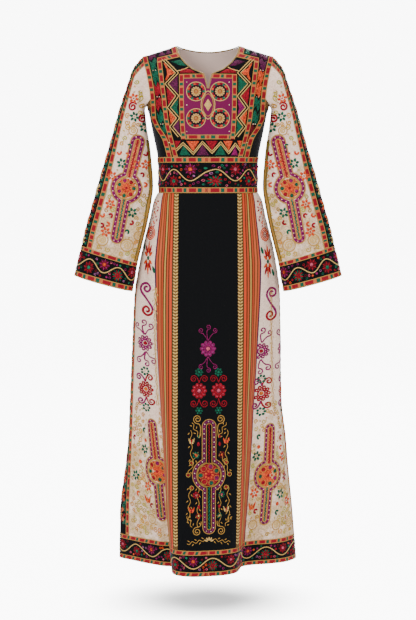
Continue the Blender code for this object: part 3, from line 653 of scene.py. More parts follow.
def key_motif(silk_work, gold_work, centre, up_tip, low_tip, radius, half_up, half_low, colours):
    """A disc with an arm up and an arm down: a stitched border, a mosaic disc and a line in each arm."""
    border, edging, ground, bead, fill = colours
    centre, up_tip, low_tip = np.array(centre), np.array(up_tip), np.array(low_tip)
    up, low = np.linalg.norm(up_tip - centre), np.linalg.norm(low_tip - centre)
    up_way, low_way = (up_tip - centre) / up, (centre - low_tip) / low

    def spot(v, u):
        v, u = np.asarray(v, float), np.asarray(u, float)
        share = np.clip(u / (2 * radius) + 0.5, 0, 1)[..., None]
        way = mix(low_way, up_way, share)
        way = way / np.linalg.norm(way, axis=-1, keepdims=True)
        along = np.where((u >= 0)[..., None], up_way, low_way)
        return centre + along * u[..., None] + stacked(way[..., 1], -way[..., 0]) * v[..., None]

    def outline(inset):
        disc, wide_up, wide_low = radius - inset, half_up - inset, half_low - inset
        start, finish = math.asin(wide_low / disc), math.asin(wide_up / disc)
        turn = np.linspace(-pi / 2 + start, pi / 2 - finish, 22)
        right = stacked(disc * np.cos(turn), disc * np.sin(turn))
        cap = np.linspace(0, pi, 13)
        reach_up, reach_low = up - inset - wide_up, low - inset - wide_low
        side_up = np.linspace(disc * cos(finish), reach_up, 12)[1:-1]
        side_low = np.linspace(disc * cos(start), reach_low, 12)[1:-1]
        top = stacked(wide_up * np.cos(cap), reach_up + wide_up * np.sin(cap))
        bottom = stacked(-wide_low * np.cos(cap), -reach_low - wide_low * np.sin(cap))
        left = right[::-1] * (-1, 1)
        path = np.vstack((right, stacked(np.full(10, wide_up), side_up), top,
                          stacked(np.full(10, -wide_up), side_up[::-1]), left,
                          stacked(np.full(10, -wide_low), -side_low), bottom,
                          stacked(np.full(10, wide_low), -side_low[::-1])))
        return spot(path[:, 0], path[:, 1])

    deep = half_up * 0.62
    gold_work.cord(outline(0.0008), 0.0017, GOLD, closed=True)
    gold_work.cord(outline(deep), 0.0015, GOLD, closed=True)
    silk_work.cord(outline(deep / 2), deep * 0.86, border, 0.0007, closed=True)
    run = outline(deep / 2)
    run = np.vstack((run, run[:1]))
    length = run_length(run)
    count = int(length[-1] / 0.0065)
    steps = np.linspace(0, length[-1], count, endpoint=False)
    for k, (x, y) in enumerate(zip(np.interp(steps, length, run[:, 0]), np.interp(steps, length, run[:,
            1]))):
        if k % 2:
            silk_work.dome(x, y, 0.0019, 0.0019, 0, bead, 0.0018, 6)
        else:
            silk_work.dome(x, y, 0.004, 0.0016, k * 0.7, edging, 0.0014, 6)
    inner = radius - deep - 0.002
    disc = spot(np.zeros(1), np.zeros(1))[0]
    silk_work.dome(*disc, inner, inner, 0, ground, 0.0007, 20)
    silk_work.flower(*disc, inner * 0.44, 7, CORAL, CRIMSON)
    tints = (GREEN, MAGENTA, CRIMSON, GREEN, CRIMSON, GREEN, MAGENTA)
    for tint, (angle, x, y) in zip(tints, around(*disc, inner * 0.7, 7, 0.5)):
        silk_work.dome(x, y, inner * 0.2, inner * 0.2, 0, tint, 0.0015, 8)
        gold_work.ring(x, y, inner * 0.235, 0.001, GOLD, 0.0014, 12)
    gold_work.ring(*disc, inner * 0.99, 0.0013, GOLD, 0.0011, 28)
    for reach, tint, sign in ((up, CRIMSON, 1), (low, LEAF, -1)):
        line = np.linspace(radius - deep - 0.001, reach - deep - 0.002, 26)
        weave = 0.0011 * (-1.0) ** np.arange(26)
        if fill:
            silk_work.cord(spot(weave * 0, sign * line), 2 * (half_up - deep), fill, 0.0006)
        silk_work.cord(spot(weave, sign * line), 0.0022, tint, 0.0014)


def vine(work, start, finish, leaves, tint, reach=0.006, wave=0.003):
    """A wavy stem with a leaf on alternate sides."""
    t = np.linspace(0, 1, 40)
    start, finish = np.array(start), np.array(finish)
    way = finish - start
    across = np.array((-way[1], way[0])) / np.linalg.norm(way)
    path = start + way * t[:, None] + across * (wave * np.sin(t * leaves * pi))[:, None]
    work.cord(path, 0.0014, tint)
    for k in range(leaves):
        at = (k + 0.5) / leaves
        side = 1 if k % 2 else -1
        spot = start + way * at + across * side * reach
        work.dome(spot[0], spot[1], 0.004, 0.0018, math.atan2(way[1], way[0]) + side * 0.7, tint, 0.0011, 6,
                  0.5)


def tulip(work, x, y, size, outer, heart):
    work.dome(x - size * 0.38, y, size * 0.72, size * 0.3, radians(112), outer, 0.0012, 8, 0.6)
    work.dome(x + size * 0.38, y, size * 0.72, size * 0.3, radians(68), outer, 0.0012, 8, 0.6)
    work.dome(x, y - size * 0.1, size * 0.5, size * 0.26, UP, heart, 0.0014, 8, 0.5)


UP = radians(90)
floss, gold = Needlework(11), Needlework(12)
MAGENTA_BLOOM, BLOOM_X, BLOOM_Z = (0.0, -0.821), 0.0265, -0.934
floss.rosette(*MAGENTA_BLOOM, 0.0225, 10, MAGENTA, LILAC, PINK)
for side, spread, drop in ((-1, 0.0185, 0.049), (1, 0.0185, 0.049)):
    for up in (1, -1):
        floss.spiral(side * spread, MAGENTA_BLOOM[1] + up * drop, 0.0068, -UP * up, side * up, 0.0017,
                     MAGENTA, tail=(side * 0.001, MAGENTA_BLOOM[1] + up * 0.022))
for up in (1, -1):
    floss.spiral(0.0008, MAGENTA_BLOOM[1] + up * 0.058, 0.0068, -UP * up, up, 0.0017, MAGENTA,
                 tail=(0.0, MAGENTA_BLOOM[1] + up * 0.022))
for side in (-1, 1):
    x = side * BLOOM_X + 0.0025
    floss.rosette(x, BLOOM_Z, 0.0215, 10, CRIMSON, PINK, PINK)
    floss.flower(x, BLOOM_Z + 0.05, 0.0115, 7, GREEN, LEAF)
    floss.flower(x, BLOOM_Z - 0.053, 0.0105, 6, GREEN, LEAF)
    for hand in (-1, 1):
        floss.spiral(x + hand * 0.0145, BLOOM_Z + 0.032, 0.0088, UP, -hand, 0.002,
                     CRIMSON, tail=(x, BLOOM_Z + 0.021))
        floss.spiral(x + hand * 0.0145, BLOOM_Z - 0.034, 0.0092, -UP, hand, 0.002, CRIMSON,
                     tail=(x, BLOOM_Z - 0.021))
KEY_X = 0.003
key_motif(floss, gold, (KEY_X, -1.16), (KEY_X, -1.01), (KEY_X, -1.32), 0.046, 0.0195, 0.018,
          (PLUM, MAGENTA, CRIMSON, IVORY, None))
for side in (-1, 1):
    def at(x, y):
        return KEY_X + side * x, y
    gold.spiral(*at(0.0315, -1.01), 0.012, -UP, side, 0.0018, GOLD, 1.7, tail=at(0.026, -1.06))
    vine(gold, at(0.026, -1.06), at(0.047, -1.02), 4, GOLD)
    vine(gold, at(0.05, -1.04), at(0.047, -1.13), 5, GOLD)
    vine(gold, at(0.03, -1.098), at(0.058, -1.16), 4, GOLD)
    vine(gold, at(0.052, -1.19), at(0.056, -1.29), 6, GOLD)
    vine(gold, at(0.03, -1.19), at(0.03, -1.3), 6, GOLD, 0.005)
    tulip(floss, *at(0.0475, -1.069), 0.013, STRAW if side < 0 else CORAL, CRIMSON)
    tulip(floss, *at(0.048, -1.254), 0.013, CORAL if side < 0 else STRAW, CRIMSON)
    floss.dome(*at(0.029, -1.077), 0.0062, 0.0048, UP, CRIMSON, 0.0013, 8, 0.4)
    floss.dome(*at(0.029, -1.057), 0.0045, 0.0034, UP, GREEN if side < 0 else CRIMSON)
    floss.flower(*at(0.0355, -1.107), 0.0098, 7, GREEN if side < 0 else DEEP, CORAL)
    floss.flower(*at(0.035, -1.214), 0.0098, 7, CRIMSON if side < 0 else GREEN, PINK)
    floss.dome(*at(0.028, -1.246), 0.0058, 0.0046, -UP, CRIMSON, 0.0013, 8, 0.4)
    floss.flower(*at(0.0285, -1.27), 0.008, 6, CRIMSON if side < 0 else GREEN, STRAW)
    for x, y in ((0.0475, -1.128), (0.057, -1.16), (0.0475, -1.195)):
        gold.ring(*at(x, y), 0.0055, 0.0016, GOLD, sides=14)
        floss.dome(*at(x, y), 0.003, 0.003, 0, CRIMSON, 0.0013, 8)
    gold.spiral(*at(0.033, -1.312), 0.012, UP, -side, 0.0018, GOLD, 1.7, tail=at(0.022, -1.285))
    vine(gold, at(0.046, -1.3), at(0.06, -1.27), 3, GOLD)
    vine(gold, at(0.012, -1.335), at(0.06, -1.345), 5, GOLD)
for angle, x, z in list(around(KEY_X, -1.342, 0.01, 12, radians(30)))[:5]:
    gold.dome(x, z, 0.0055, 0.0022, angle, STRAW)
lay_both("centre", floss, gold, skirt_at)

# Skirt: gold braids
# Flat braid of metal-wrapped thread, woven as a herringbone about 13 mm wide. One runs down each edge of
# the centre panel, and one down each side seam. It is stitched over the seam.
gold_braid = new_material("gold_braid", (0.55, 0.35, 0.13), 0.5, metallic=0.25, sheen=0.03)


def maths(material, operation, *values):
    """A maths node's output, from numbers or other nodes' outputs."""
    node = add_node(material, "ShaderNodeMath", operation=operation)
    for socket, value in zip(node.inputs, values):
        feed(material, socket, value)
    return node.outputs[0]


def blend(material, share, first, second):
    """Two colours mixed. Each is a colour or another node's output."""
    node = add_node(material, "ShaderNodeMix", data_type="RGBA")
    for place, value in ((0, share), (6, first), (7, second)):
        feed(material, node.inputs[place], value)
    return node.outputs[2]


def cloth_place(material):
    """The place on a piece's UV: across it from 0 to 1, and along it in metres."""
    place = add_node(material, "ShaderNodeUVMap", uv_map="cloth")
    split = add_node(material, "ShaderNodeSeparateXYZ")
    join(material, place.outputs["UV"], split.inputs[0])
    return split.outputs["X"], split.outputs["Y"]


def from_middle(material, across):
    return maths(material, "ABSOLUTE", maths(material, "SUBTRACT", across, 0.5))


def herringbone(material, dark, light, period):
    """Slanted threads that meet along the middle."""
    across, along = cloth_place(material)
    slant = maths(material, "MULTIPLY_ADD", from_middle(material, across), 0.022, along)
    wave = maths(material, "SINE", maths(material, "MULTIPLY", slant, 2 * pi / period))
    height = maths(material, "MULTIPLY_ADD", wave, 0.5, 0.5)
    paint(material, blend(material, height, dark, light))
    add_bump(material, height, 0.7, 0.0008)


herringbone(gold_braid, (0.08, 0.034, 0.008), (0.2, 0.105, 0.028), 0.0088)
TAPE_RISE = 0.0006
plait = Needlework(13)
for side in (1, -1):
    for strip in ("braid", "edge_braid"):
        strip_shell(strip, side, (120, 5), gold_braid, "gold_braid", 0.0135, rise=TAPE_RISE)
        for height in np.arange(WAIST_Z - 0.006, HEM_BAND_Z + 0.004, -0.0085):
            near, far = edge_at(strip, height, False), edge_at(strip, height)
            for share, hand in ((0.25, -1), (0.75, 1)):
                plait.dome(side * mix(near, far, share), height, (far - near) * 0.36, 0.0023,
                           side * hand * radians(38), STRAW, 0.001, 6)
lay("braid_threads", plait, skirt_at, gilt, TAPE_RISE)

# Skirt: striped bands
# A band of warp-striped satin beside each braid: bright coral, salmon, gold and a dark line, with a plum
# line at its outer edge. It folds under at the step beside the centre panel.
striped = new_material("striped_satin", (0.7, 0.11, 0.04), 0.5, sheen=0.03)
STRIPES = (
    (0.00, (0.05, 0.03, 0.006)),
    (0.06, (0.6, 0.052, 0.014)),
    (0.18, (0.04, 0.02, 0.005)),
    (0.24, (0.46, 0.065, 0.02)),
    (0.33, (0.04, 0.02, 0.005)),
    (0.39, (0.5, 0.28, 0.07)),
    (0.47, (0.04, 0.02, 0.005)),
    (0.53, (0.46, 0.055, 0.018)),
    (0.62, (0.07, 0.036, 0.008)),
    (0.67, (0.54, 0.095, 0.03)),
    (0.78, (0.07, 0.036, 0.008)),
    (0.83, (0.46, 0.075, 0.024)),
    (0.92, (0.055, 0.008, 0.04)),
)


def ramp(material, amount, stops, kind="LINEAR"):
    """Colours along a ramp, blended, or in flat steps with the kind CONSTANT."""
    node = add_node(material, "ShaderNodeValToRGB")
    node.color_ramp.interpolation = kind
    for at, _ in stops[2:]:
        node.color_ramp.elements.new(at)
    for element, (at, colour) in zip(node.color_ramp.elements, stops):
        element.position = at
        element.color = (*colour, 1)
    join(material, amount, node.inputs["Fac"])
    return node.outputs["Color"]


paint(striped, ramp(striped, cloth_place(striped)[0], STRIPES, "CONSTANT"))
rough_up(striped, 700, 0.3, 0.0005)
for side in (1, -1):
    strip_shell("stripes", side, (120, 16), striped, "striped_satin", 0.06)

# Skirt: cream panels
# Flared gores of cream satin with a lilac cast lower down, one each side of the front, closely worked in
# gold and silk. They are cut narrow at the belt and about 180 mm wide at the hem.
satin = new_material("cream_satin", (0.76, 0.6, 0.52), 0.5, sheen=0.03)
weave = rough_up(satin, 260, 0.45, 0.0009, 6.0)
CREAM_SHADES = ((0.35, (0.76, 0.52, 0.4)), (0.62, (0.99, 0.76, 0.62)))
GILT_SHADES = ((0.38, (0.27, 0.15, 0.018)), (0.6, (0.6, 0.39, 0.1)))
spread = add_node(satin, "ShaderNodeAttribute", attribute_name="gilt")
amount = maths(satin, "ADD", grain(satin, 38, 4.0).outputs["Fac"], spread.outputs["Fac"])
worked = map_range(satin, amount, 0.86, 1.02, 0.0, 0.62)
paint(satin, blend(satin, worked, ramp(satin, weave, CREAM_SHADES), ramp(satin, weave, GILT_SHADES)))


def gild(piece, least, start_z, fall):
    """Cover a cream piece in gold thread, growing denser down from a height."""
    heights = np.array([point.co.z for point in piece.data.vertices])
    amount = least + 0.34 * np.clip((start_z - heights) / fall, 0, 1)
    layer = piece.data.attributes.new("gilt", "FLOAT", "POINT")
    layer.data.foreach_set("value", amount.astype(np.float32))


for side in (1, -1):
    gild(strip_shell("cream", side, (140, 44), satin, "cream_satin", 0.18, 0.109), 0.16, -0.93, 0.22)

# Skirt: embroidery of the cream panels
# Silk flowers, an S scroll and a key-shaped motif on each panel, over a ground of curled gold thread that
# grows dense towards the hem. It is worked before the gores are sewn together.
CURL_TINTS = ((0.34, 0.18, 0.018), (0.56, 0.35, 0.055))


def curls(work, count, region, clear, seed, size):
    """Small gold scrolls strewn evenly over a region, clear of the larger motifs."""
    chance = random.Random(seed)
    placed = []
    for _ in range(count * 12):
        x, y = region(chance)
        if any((x - a) ** 2 + (y - b) ** 2 < (r + size * 0.8) ** 2 for a, b, r in clear):
            continue
        if any((x - a) ** 2 + (y - b) ** 2 < (1.55 * size) ** 2 for a, b in placed):
            continue
        placed.append((x, y))
        tint = tuple(mix(a, b, chance.random()) for a, b in zip(*CURL_TINTS))
        kind = chance.random()
        if kind < 0.72:
            work.spiral(x, y, size * chance.uniform(0.75, 1.05), chance.uniform(0, 6.28), chance.choice((-1,
                    1)),
                        0.0015, tint, 1.25)
        else:
            angle = chance.uniform(0, 6.28)
            for turn in (angle - 0.6, angle, angle + 0.6):
                work.dome(x + size * 0.45 * cos(turn), y + size * 0.45 * sin(turn), size * 0.42,
                          size * 0.15, turn, tint, 0.0009, 6, 0.5)
        if len(placed) >= count:
            return


def comma(work, x, y, size, angle, tint):
    """A crescent of satin stitch."""
    work.cord([(x + size * 0.62 * cos(angle + t), y + size * 0.62 * sin(angle + t))
               for t in np.linspace(0, 4.2, 14)], size * 0.78, tint, 0.0013)


def long_flower(work, x, y, wide, tall):
    """A star flower with leaves, taller than it is wide."""
    for middle in (90, 270):
        for angle, long, tint in ((0, 1.0, CORAL), (-28, 0.85, CRIMSON), (28, 0.85, CRIMSON), (-55, 0.62,
                CORAL),
                                  (55, 0.62, CORAL)):
            turn = radians(middle + angle)
            dx, dy = wide * cos(turn) * long, tall * sin(turn) * long
            work.dome(x + dx * 0.62, y + dy * 0.62, hypot(dx, dy) * 0.36, 0.0058, math.atan2(dy, dx), tint,
                      0.0013,
                      8, 0.5)
    for hand, up in ((-1, 1), (1, -1)):
        work.dome(x + hand * wide * 0.62, y + up * tall * 0.62, 0.0115, 0.005, radians(105), GREEN, 0.0013,
                  8, 0.4)
    work.dome(x, y, 0.0062, 0.0062, 0, GREEN, 0.0016, 10)


def scroll_bloom(work, x, y, radius, tint, heart, spirals):
    """A ringed flower with scrolls above and below."""
    work.rosette(x, y, radius, 10, tint, IVORY, heart)
    for up in (1, -1):
        for hand in spirals:
            reach = radius * (2.1 if hand else 2.5)
            work.spiral(x + hand * radius * 0.85, y + up * reach, radius * 0.38, -UP * up,
                        (hand or 1) * up, 0.0015, tint, 1.1, tail=(x + hand * 0.001, y + up * radius))


SIDES = ((1, "right"), (-1, "left"))
SUNK = -0.0008
for side, word in SIDES:
    floss, gold = Needlework(20 + side, 2.8), Needlework(30 + side, 2.3)
    lean = 1 if side > 0 else 0
    near_x = 0.178 * side
    for radius, tint in ((0.0175, CORAL), (0.0125, CORAL), (0.0075, CRIMSON)):
        floss.ring(near_x - 0.001, -0.512 - 0.004 * lean, radius, 0.0015, tint)
    floss.dome(near_x - 0.001, -0.512 - 0.004 * lean, 0.0035, 0.0035, 0, DEEP)
    for k in range(9):
        height = -0.425 - 0.0085 * k
        x = side * (edge_at("stripes", height) + 0.02 + 0.006 * sin(k * 1.9))
        floss.dome(x, height, 0.0052, 0.003, k * 1.3, (CRIMSON, CORAL, PINK)[k % 3], 0.0012, 8, 0.4)
        floss.dome(x + side * 0.014, height - 0.004, 0.0048, 0.0026, k * 2.1, (CORAL, SALMON,
                CRIMSON)[k % 3],
                   0.0012, 8, 0.4)
    floss.widen(0, near_x, 1.25)
    begin = len(floss.points)
    long_flower(floss, side * 0.182, -0.58 - 0.01 * lean, 0.031, 0.05)
    floss.widen(begin, side * 0.182, 1.3)
    begin = len(floss.points)
    scroll_x, scroll_z = side * (0.191 + 0.01 * lean), -0.693 - 0.014 * lean
    for up in (1, -1):
        floss.spiral(scroll_x + up * 0.001, scroll_z + up * 0.03, 0.0165, radians(90 + 90 * up), -1, 0.0025,
                     MAGENTA if up > 0 else CRIMSON, 1.4)
    floss.cord([(scroll_x - 0.016 * cos(pi * t), scroll_z + 0.03 - 0.06 * t)
                for t in np.linspace(0, 1, 16)], 0.0025, MAGENTA)
    floss.widen(begin, scroll_x, 1.5)
    columns = (0.2095,) if side < 0 else (0.17, 0.272)
    for x in columns:
        begin = len(floss.points)
        drop = 0.0 if side < 0 else 0.02
        scroll_bloom(floss, side * x, -0.815 - drop, 0.023, MAGENTA, CRIMSON, (-1, 0, 1))
        floss.flower(side * (x + 0.006), -0.893 - drop, 0.013, 7, GREEN, IVORY)
        floss.rosette(side * (x + 0.008), -0.943 - drop * 0.5, 0.023, 10, CRIMSON, IVORY, ORANGE)
        for hand in (-1, 1):
            for up in (1, -1):
                floss.spiral(side * (x + 0.009) + hand * 0.015, -0.943 - drop * 0.5 + up * 0.0325, 0.0088,
                             UP * up, -hand * up, 0.0018, CRIMSON if hand > 0 else MAGENTA, 1.1,
                             tail=(side * (x + 0.008), -0.943 - drop * 0.5 + up * 0.0205))
        floss.flower(side * (x + 0.01), -0.994 - drop * 0.5, 0.013, 7, GREEN, IVORY)
        floss.widen(begin, side * x, 1.45)
        for points in floss.points[begin:]:
            # stitches that would reach over the stripes are sunk into the cloth
            if side * points[:, 0].mean() < edge_at("stripes", points[0, 1]) + 0.002:
                points[:, 2] = SUNK
    vine_top, vine_low = (0.15, 0.176) if side < 0 else (0.196, 0.221)
    vine(gold, (side * vine_top, -0.66), (side * vine_low, -0.985), 26, STRAW, 0.0055, 0.0022)
    vine(gold, (side * (vine_top + 0.004), -0.66), (side * (vine_low + 0.006), -0.985), 22, GOLD, 0.0065,
         0.003)
    key_x, key_z = (0.219, -1.184) if side > 0 else (-0.2045, -1.169)
    key_motif(floss, gold, (key_x, key_z), (key_x - 0.003, key_z + 0.146), (key_x - 0.002, key_z - 0.139),
              0.045, 0.0165, 0.0155, (MAGENTA, PLUM, CORAL, IVORY, SALMON))
    clear = [(key_x, key_z, 0.047)] + [(key_x, key_z + k * 0.012, 0.017) for k in range(-12, 13)]
    small = (
        ("comma", -0.037, 0.11, GREEN), ("dot", -0.035, 0.082, CORAL), ("bloom", -0.041, 0.057, GREEN),
        ("bloom", -0.039, -0.046, CORAL), ("tulip", -0.044, -0.082, CORAL), ("comma", -0.03, -0.098,
                CRIMSON),
        ("comma", 0.041, 0.102, CRIMSON), ("comma", 0.0415, 0.074, CORAL), ("bloom", 0.051, 0.048, CORAL),
        ("bloom", 0.044, -0.056, GREEN), ("dot", 0.034, -0.082, CORAL), ("comma", 0.034, -0.106, GREEN),
        ("dot", -0.062, 0.02, CORAL), ("bloom", 0.066, -0.01, CRIMSON), ("bloom", 0.08, -0.08, CORAL),
        ("comma", -0.078, 0.085, CRIMSON), ("bloom", -0.082, -0.02, GREEN), ("comma", -0.076, -0.07, CORAL),
    )
    for kind, dx, dz, tint in small:
        x, y = key_x + dx, key_z + dz
        inner = edge_at("stripes", y) + 0.01
        outer = edge_at("cream", y) - 0.01
        if not inner < side * x < outer:
            continue
        clear.append((x, y, 0.011))
        if kind == "comma":
            comma(floss, x, y, 0.008, 0.6, tint)
        elif kind == "dot":
            floss.dome(x, y, 0.006, 0.006, 0, tint, 0.0014, 10)
        elif kind == "bloom":
            floss.flower(x, y, 0.0155, 6, tint, STRAW if tint is GREEN else LEAF, 0.2, False, 0.16)
        else:
            tulip(floss, x, y, 0.019, tint, ORANGE)

    def lower(chance):
        y = chance.uniform(-1.352, -0.985)
        inner = edge_at("stripes", y) + 0.009
        outer = edge_at("cream", y) - 0.009
        return side * chance.uniform(inner, outer), y

    clear += [(side * x, y, 0.028) for x in columns for y in (-0.95, -0.99)]
    for dx, dz in ((-0.036, -0.136), (0.035, -0.142), (0.09, -0.14)):
        x, y = key_x + dx, key_z + dz
        if side * x < edge_at("stripes", y) + 0.012:
            continue
        clear.append((x, y, 0.013))
        gold.ring(x, y, 0.013, 0.0013, GOLD, sides=26)
        gold.spiral(x, y, 0.0095, 0.4, 1, 0.0016, STRAW, 1.6)
    curls(gold, 300, lower, clear, 40 + side, 0.0078)
    lay_both("cream", floss, gold, skirt_at, "_" + word)

# Skirt: side tapes and side bands
# A woven tape edges each cream panel, and a dark band of stitched geometric patches runs down the side
# between the tape and the gold edge braid.
tape = new_material("woven_tape", (0.62, 0.14, 0.07), 0.6, sheen=0.03)


def woven(material, period):
    """Gold edges, a coral ground, crimson dashes and green dots."""
    across, along = cloth_place(material)
    part = maths(material, "FRACT", maths(material, "DIVIDE", along, period))
    ground = (0.5, 0.115, 0.035)
    dashes = ((0.00, ground), (0.1, (0.24, 0.003, 0.012)), (0.58, ground), (0.68, (0.004, 0.08, 0.042)),
              (0.92, ground))
    edges = ramp(material, from_middle(material, across), ((0.0, (0, 0, 0)), (0.36, (1, 1, 1))), "CONSTANT")
    paint(material, blend(material, edges, ramp(material, part, dashes, "CONSTANT"), (0.4, 0.21, 0.05)))


woven(tape, 0.034)
rough_up(tape, 800, 0.4, 0.0006)
patch = new_material("patch_cloth", (0.0022, 0.0022, 0.0028), 0.9, sheen=0.02, tint=(0.4, 0.4, 0.5))
for side in (1, -1):
    strip_shell("side_tape", side, (120, 5), tape, "woven_tape", 0.0125, rise=TAPE_RISE)
    strip_shell("side_band", side, (120, 18), patch, "patch_band", 0.066, 0.047)


def star_band(work, x, y, half, tall, tints):
    """A stitched diamond star with green corners, as wide as its band."""
    first, second, corner = tints
    work.patch([(x - half, y), (x, y - tall), (x + half, y), (x, y + tall)], first, 0.0006)
    for dx, dy in ((0.5, 0.5), (-0.5, 0.5), (0.5, -0.5), (-0.5, -0.5)):
        work.patch([(x + half * (dx - 0.26), y + tall * dy), (x + half * dx, y + tall * (dy - 0.26)),
                    (x + half * (dx + 0.26), y + tall * dy), (x + half * dx, y + tall * (dy + 0.26))],
                    second, 0.001)
    for k in range(8):
        angle = k * pi / 4
        rx, ry = half * 0.34 * cos(angle), tall * 0.34 * sin(angle)
        work.dome(x + rx, y + ry, half * 0.24, half * 0.09, angle, second if k % 2 else STRAW, 0.0013, 6,
                  0.5)
    work.dome(x, y, half * 0.13, half * 0.13, 0, corner, 0.0016, 8)
    for dx in (-1, 1):
        for dy in (-1, 1):
            work.patch([(x + dx * half, y + dy * tall * 0.18), (x + dx * half, y + dy * tall),
                        (x + dx * half * 0.25, y + dy * tall)], corner, 0.0006)


for side, word in SIDES:
    floss = Needlework(50 + side)
    height, k = -0.428, 0
    while height > -1.352:
        inner, outer = edge_at("side_tape", height), edge_at("side_band", height)
        half = (outer - inner) / 2 - 0.0015
        star_band(floss, side * (inner + outer) / 2, height, half, half * 0.92,
                  ((DEEP, CORAL, GREEN), (CRIMSON, SALMON, GREEN), (DEEP, PINK, LEAF), (CRIMSON, CORAL,
                          GREEN))[k % 4])
        height, k = height - half * 1.9, k + 1
    lay("side_band_silk_" + word, floss, skirt_at, silk)

# Skirt: back
# The back is one wide width of the same black velvet, plain, from side braid to side braid.
places = skirt_grid(lambda z: strip_edge("edge_braid", z) + SEAM,
                    lambda z: skirt_length(z) - strip_edge("edge_braid", z) - SEAM, 120, 90)
skirt_back = shell("skirt_back_cloth", skirt_at, *places, [velvet, dark_lining])
declare(skirt_back, "skirt_back", "velvet", flat=(0.62, SKIRT_FALL), held="hung", area=0.48)

# Hem band
# A straight band of black velvet right round the hem, edged above and below with woven tape.
HEM_TAPE = 0.0125
RING_COLUMNS = 300


def ring_shell(node, surface, length_at, heights, rows, material, slot_name, rise=0.0, **cut):
    """A closed ring between two heights. Its UV runs up from 0 to 1, and round in metres."""
    share, z = np.meshgrid(np.arange(RING_COLUMNS) / RING_COLUMNS, np.linspace(*heights, rows))
    first = length_at(z) * share
    uv = stacked(np.linspace(0, 1, rows)[:, None], first)
    made = shell(node + "_cloth", surface, first, z, [material, dark_lining], rise=rise, uv=uv, closed=True)
    declare(made, node, slot_name, **cut)


ring_shell("hem_band", skirt_at, skirt_length, (HEM_BAND_Z - HEM_TAPE + 0.0008, HEM_Z + HEM_TAPE - 0.0008),
           7,
           velvet, "velvet", flat=(1.4, 0.043), held="hung")
for name, top, low in (("hem_top_tape", HEM_BAND_Z, HEM_BAND_Z - HEM_TAPE),
                       ("hem_bottom_tape", HEM_Z + HEM_TAPE, HEM_Z)):
    ring_shell(name, skirt_at, skirt_length, (top - 0.0001, low + 0.0001), 5, tape, "woven_tape", TAPE_RISE,
               flat=(1.4, 0.0125), held="hung")


def wave_band(floss, gold, start, finish, period, crest, middle, swing, half, bloom):
    """A gold wave with a flower in each bend, and small rings and knots strewn between."""
    x = np.linspace(start, finish, int((finish - start) / 0.0035))

    def wave(at):
        return middle + swing * cos((at - crest) / period * 2 * pi)

    gold.cord([(one, wave(one)) for one in x], 0.0023, STRAW, 0.0013)
    blooms = []
    first = math.ceil((start + bloom - crest) / period * 2)
    last = math.floor((finish - bloom - crest) / period * 2)
    for k in range(first, last + 1):
        at, up = crest + k * period / 2, -1 if k % 2 == 0 else 1
        y = middle + up * (half - bloom - 0.001)
        blooms.append((at, y, bloom))
        tint, heart = ((GREEN, CRIMSON), (CRIMSON, PINK), (CRIMSON, LEAF), (MAGENTA, CORAL))[k % 4]
        for turn, petal, size in ((0.39, DEEP if tint is not GREEN else CRIMSON, 0.86), (0.0, tint, 1.0)):
            for angle, px, py in around(at, y, bloom * 0.66 * size, 8, turn):
                floss.dome(px, py, bloom * 0.34, bloom * 0.15, angle, petal, 0.001 + 0.0006 * size, 8, 0.3)
        floss.dome(at, y, bloom * 0.32, bloom * 0.32, 0, heart, 0.0019, 10)
    placed = []
    tints = (CRIMSON, MAGENTA, GREEN, CORAL, PINK, DEEP, CRIMSON, LEAF, MAGENTA, LILAC)
    for _ in range(int((finish - start) * half * 90000)):
        at, y = floss.chance.uniform(start + 0.004, finish - 0.004), floss.chance.uniform(-1,
                1) * (half - 0.0042)
        y = middle + y
        slope = swing * 2 * pi / period * sin((at - crest) / period * 2 * pi)
        if abs(y - wave(at)) / hypot(1, slope) < 0.0058:
            continue
        if any((at - a) ** 2 + (y - b) ** 2 < (r + 0.003) ** 2 for a, b, r in blooms):
            continue
        if any((at - a) ** 2 + (y - b) ** 2 < 0.0078 ** 2 for a, b in placed):
            continue
        placed.append((at, y))
        tint = tints[int((at * 37 + y * 11) * 3 + len(placed)) % len(tints)]
        if floss.chance.random() < 0.55:
            floss.ring(at, y, 0.0025, 0.0016, tint, 0.0012, 9)
        else:
            floss.dome(at, y, 0.0034, 0.0034, 0, tint, 0.0013, 7)


floss, gold = Needlework(61), Needlework(62)
round_hem = float(skirt_length(np.array(-1.399)))
wave_band(floss, gold, -round_hem / 2 + 0.001, round_hem / 2 - 0.001, round_hem / 13, 0.013, -1.399, 0.0135,
          0.0222,
          0.015)
lay_both("hem", floss, gold, skirt_at)

# Belt
# A waistband of black velvet stiffened with canvas, sewn between bodice and skirt, with a woven tape
# along both edges. It sits flat and takes small horizontal creases at the sides.
BELT_TOP_Z, BELT_BOTTOM_Z, BELT_TAPE = -0.3045, -0.4021, 0.0152
BODY = table(
    ("z", "half_width", "front", "back"),
    (0.0002, 0.1832, 0.076, 0.078),
    (-0.0583, 0.1835, 0.088, 0.088),
    (-0.0974, 0.1797, 0.1, 0.097),
    (-0.1464, 0.1719, 0.11, 0.101),
    (-0.1856, 0.1632, 0.117, 0.1),
    (-0.2397, 0.1525, 0.116, 0.096),
    (-0.2791, 0.1442, 0.108, 0.091),
    (-0.3047, 0.1398, 0.102, 0.088),
    (-0.3432, 0.1369, 0.099, 0.087),
    (-0.4026, 0.1371, 0.101, 0.089),
)
BELT_LENGTH = 0.755


def belt_base(place, z):
    turn = np.asarray(place) / BELT_LENGTH * 2 * pi
    half = read(BODY, "half_width", z) + 0.0008
    depth = np.where(np.cos(turn) > 0, read(BODY, "front", z), read(BODY, "back", z)) + 0.0008
    x = half * signed_power(np.sin(turn), 2 / BODY_POWER)
    y = -depth * signed_power(np.cos(turn), 2 / BODY_POWER)
    return stacked(x, y, z)


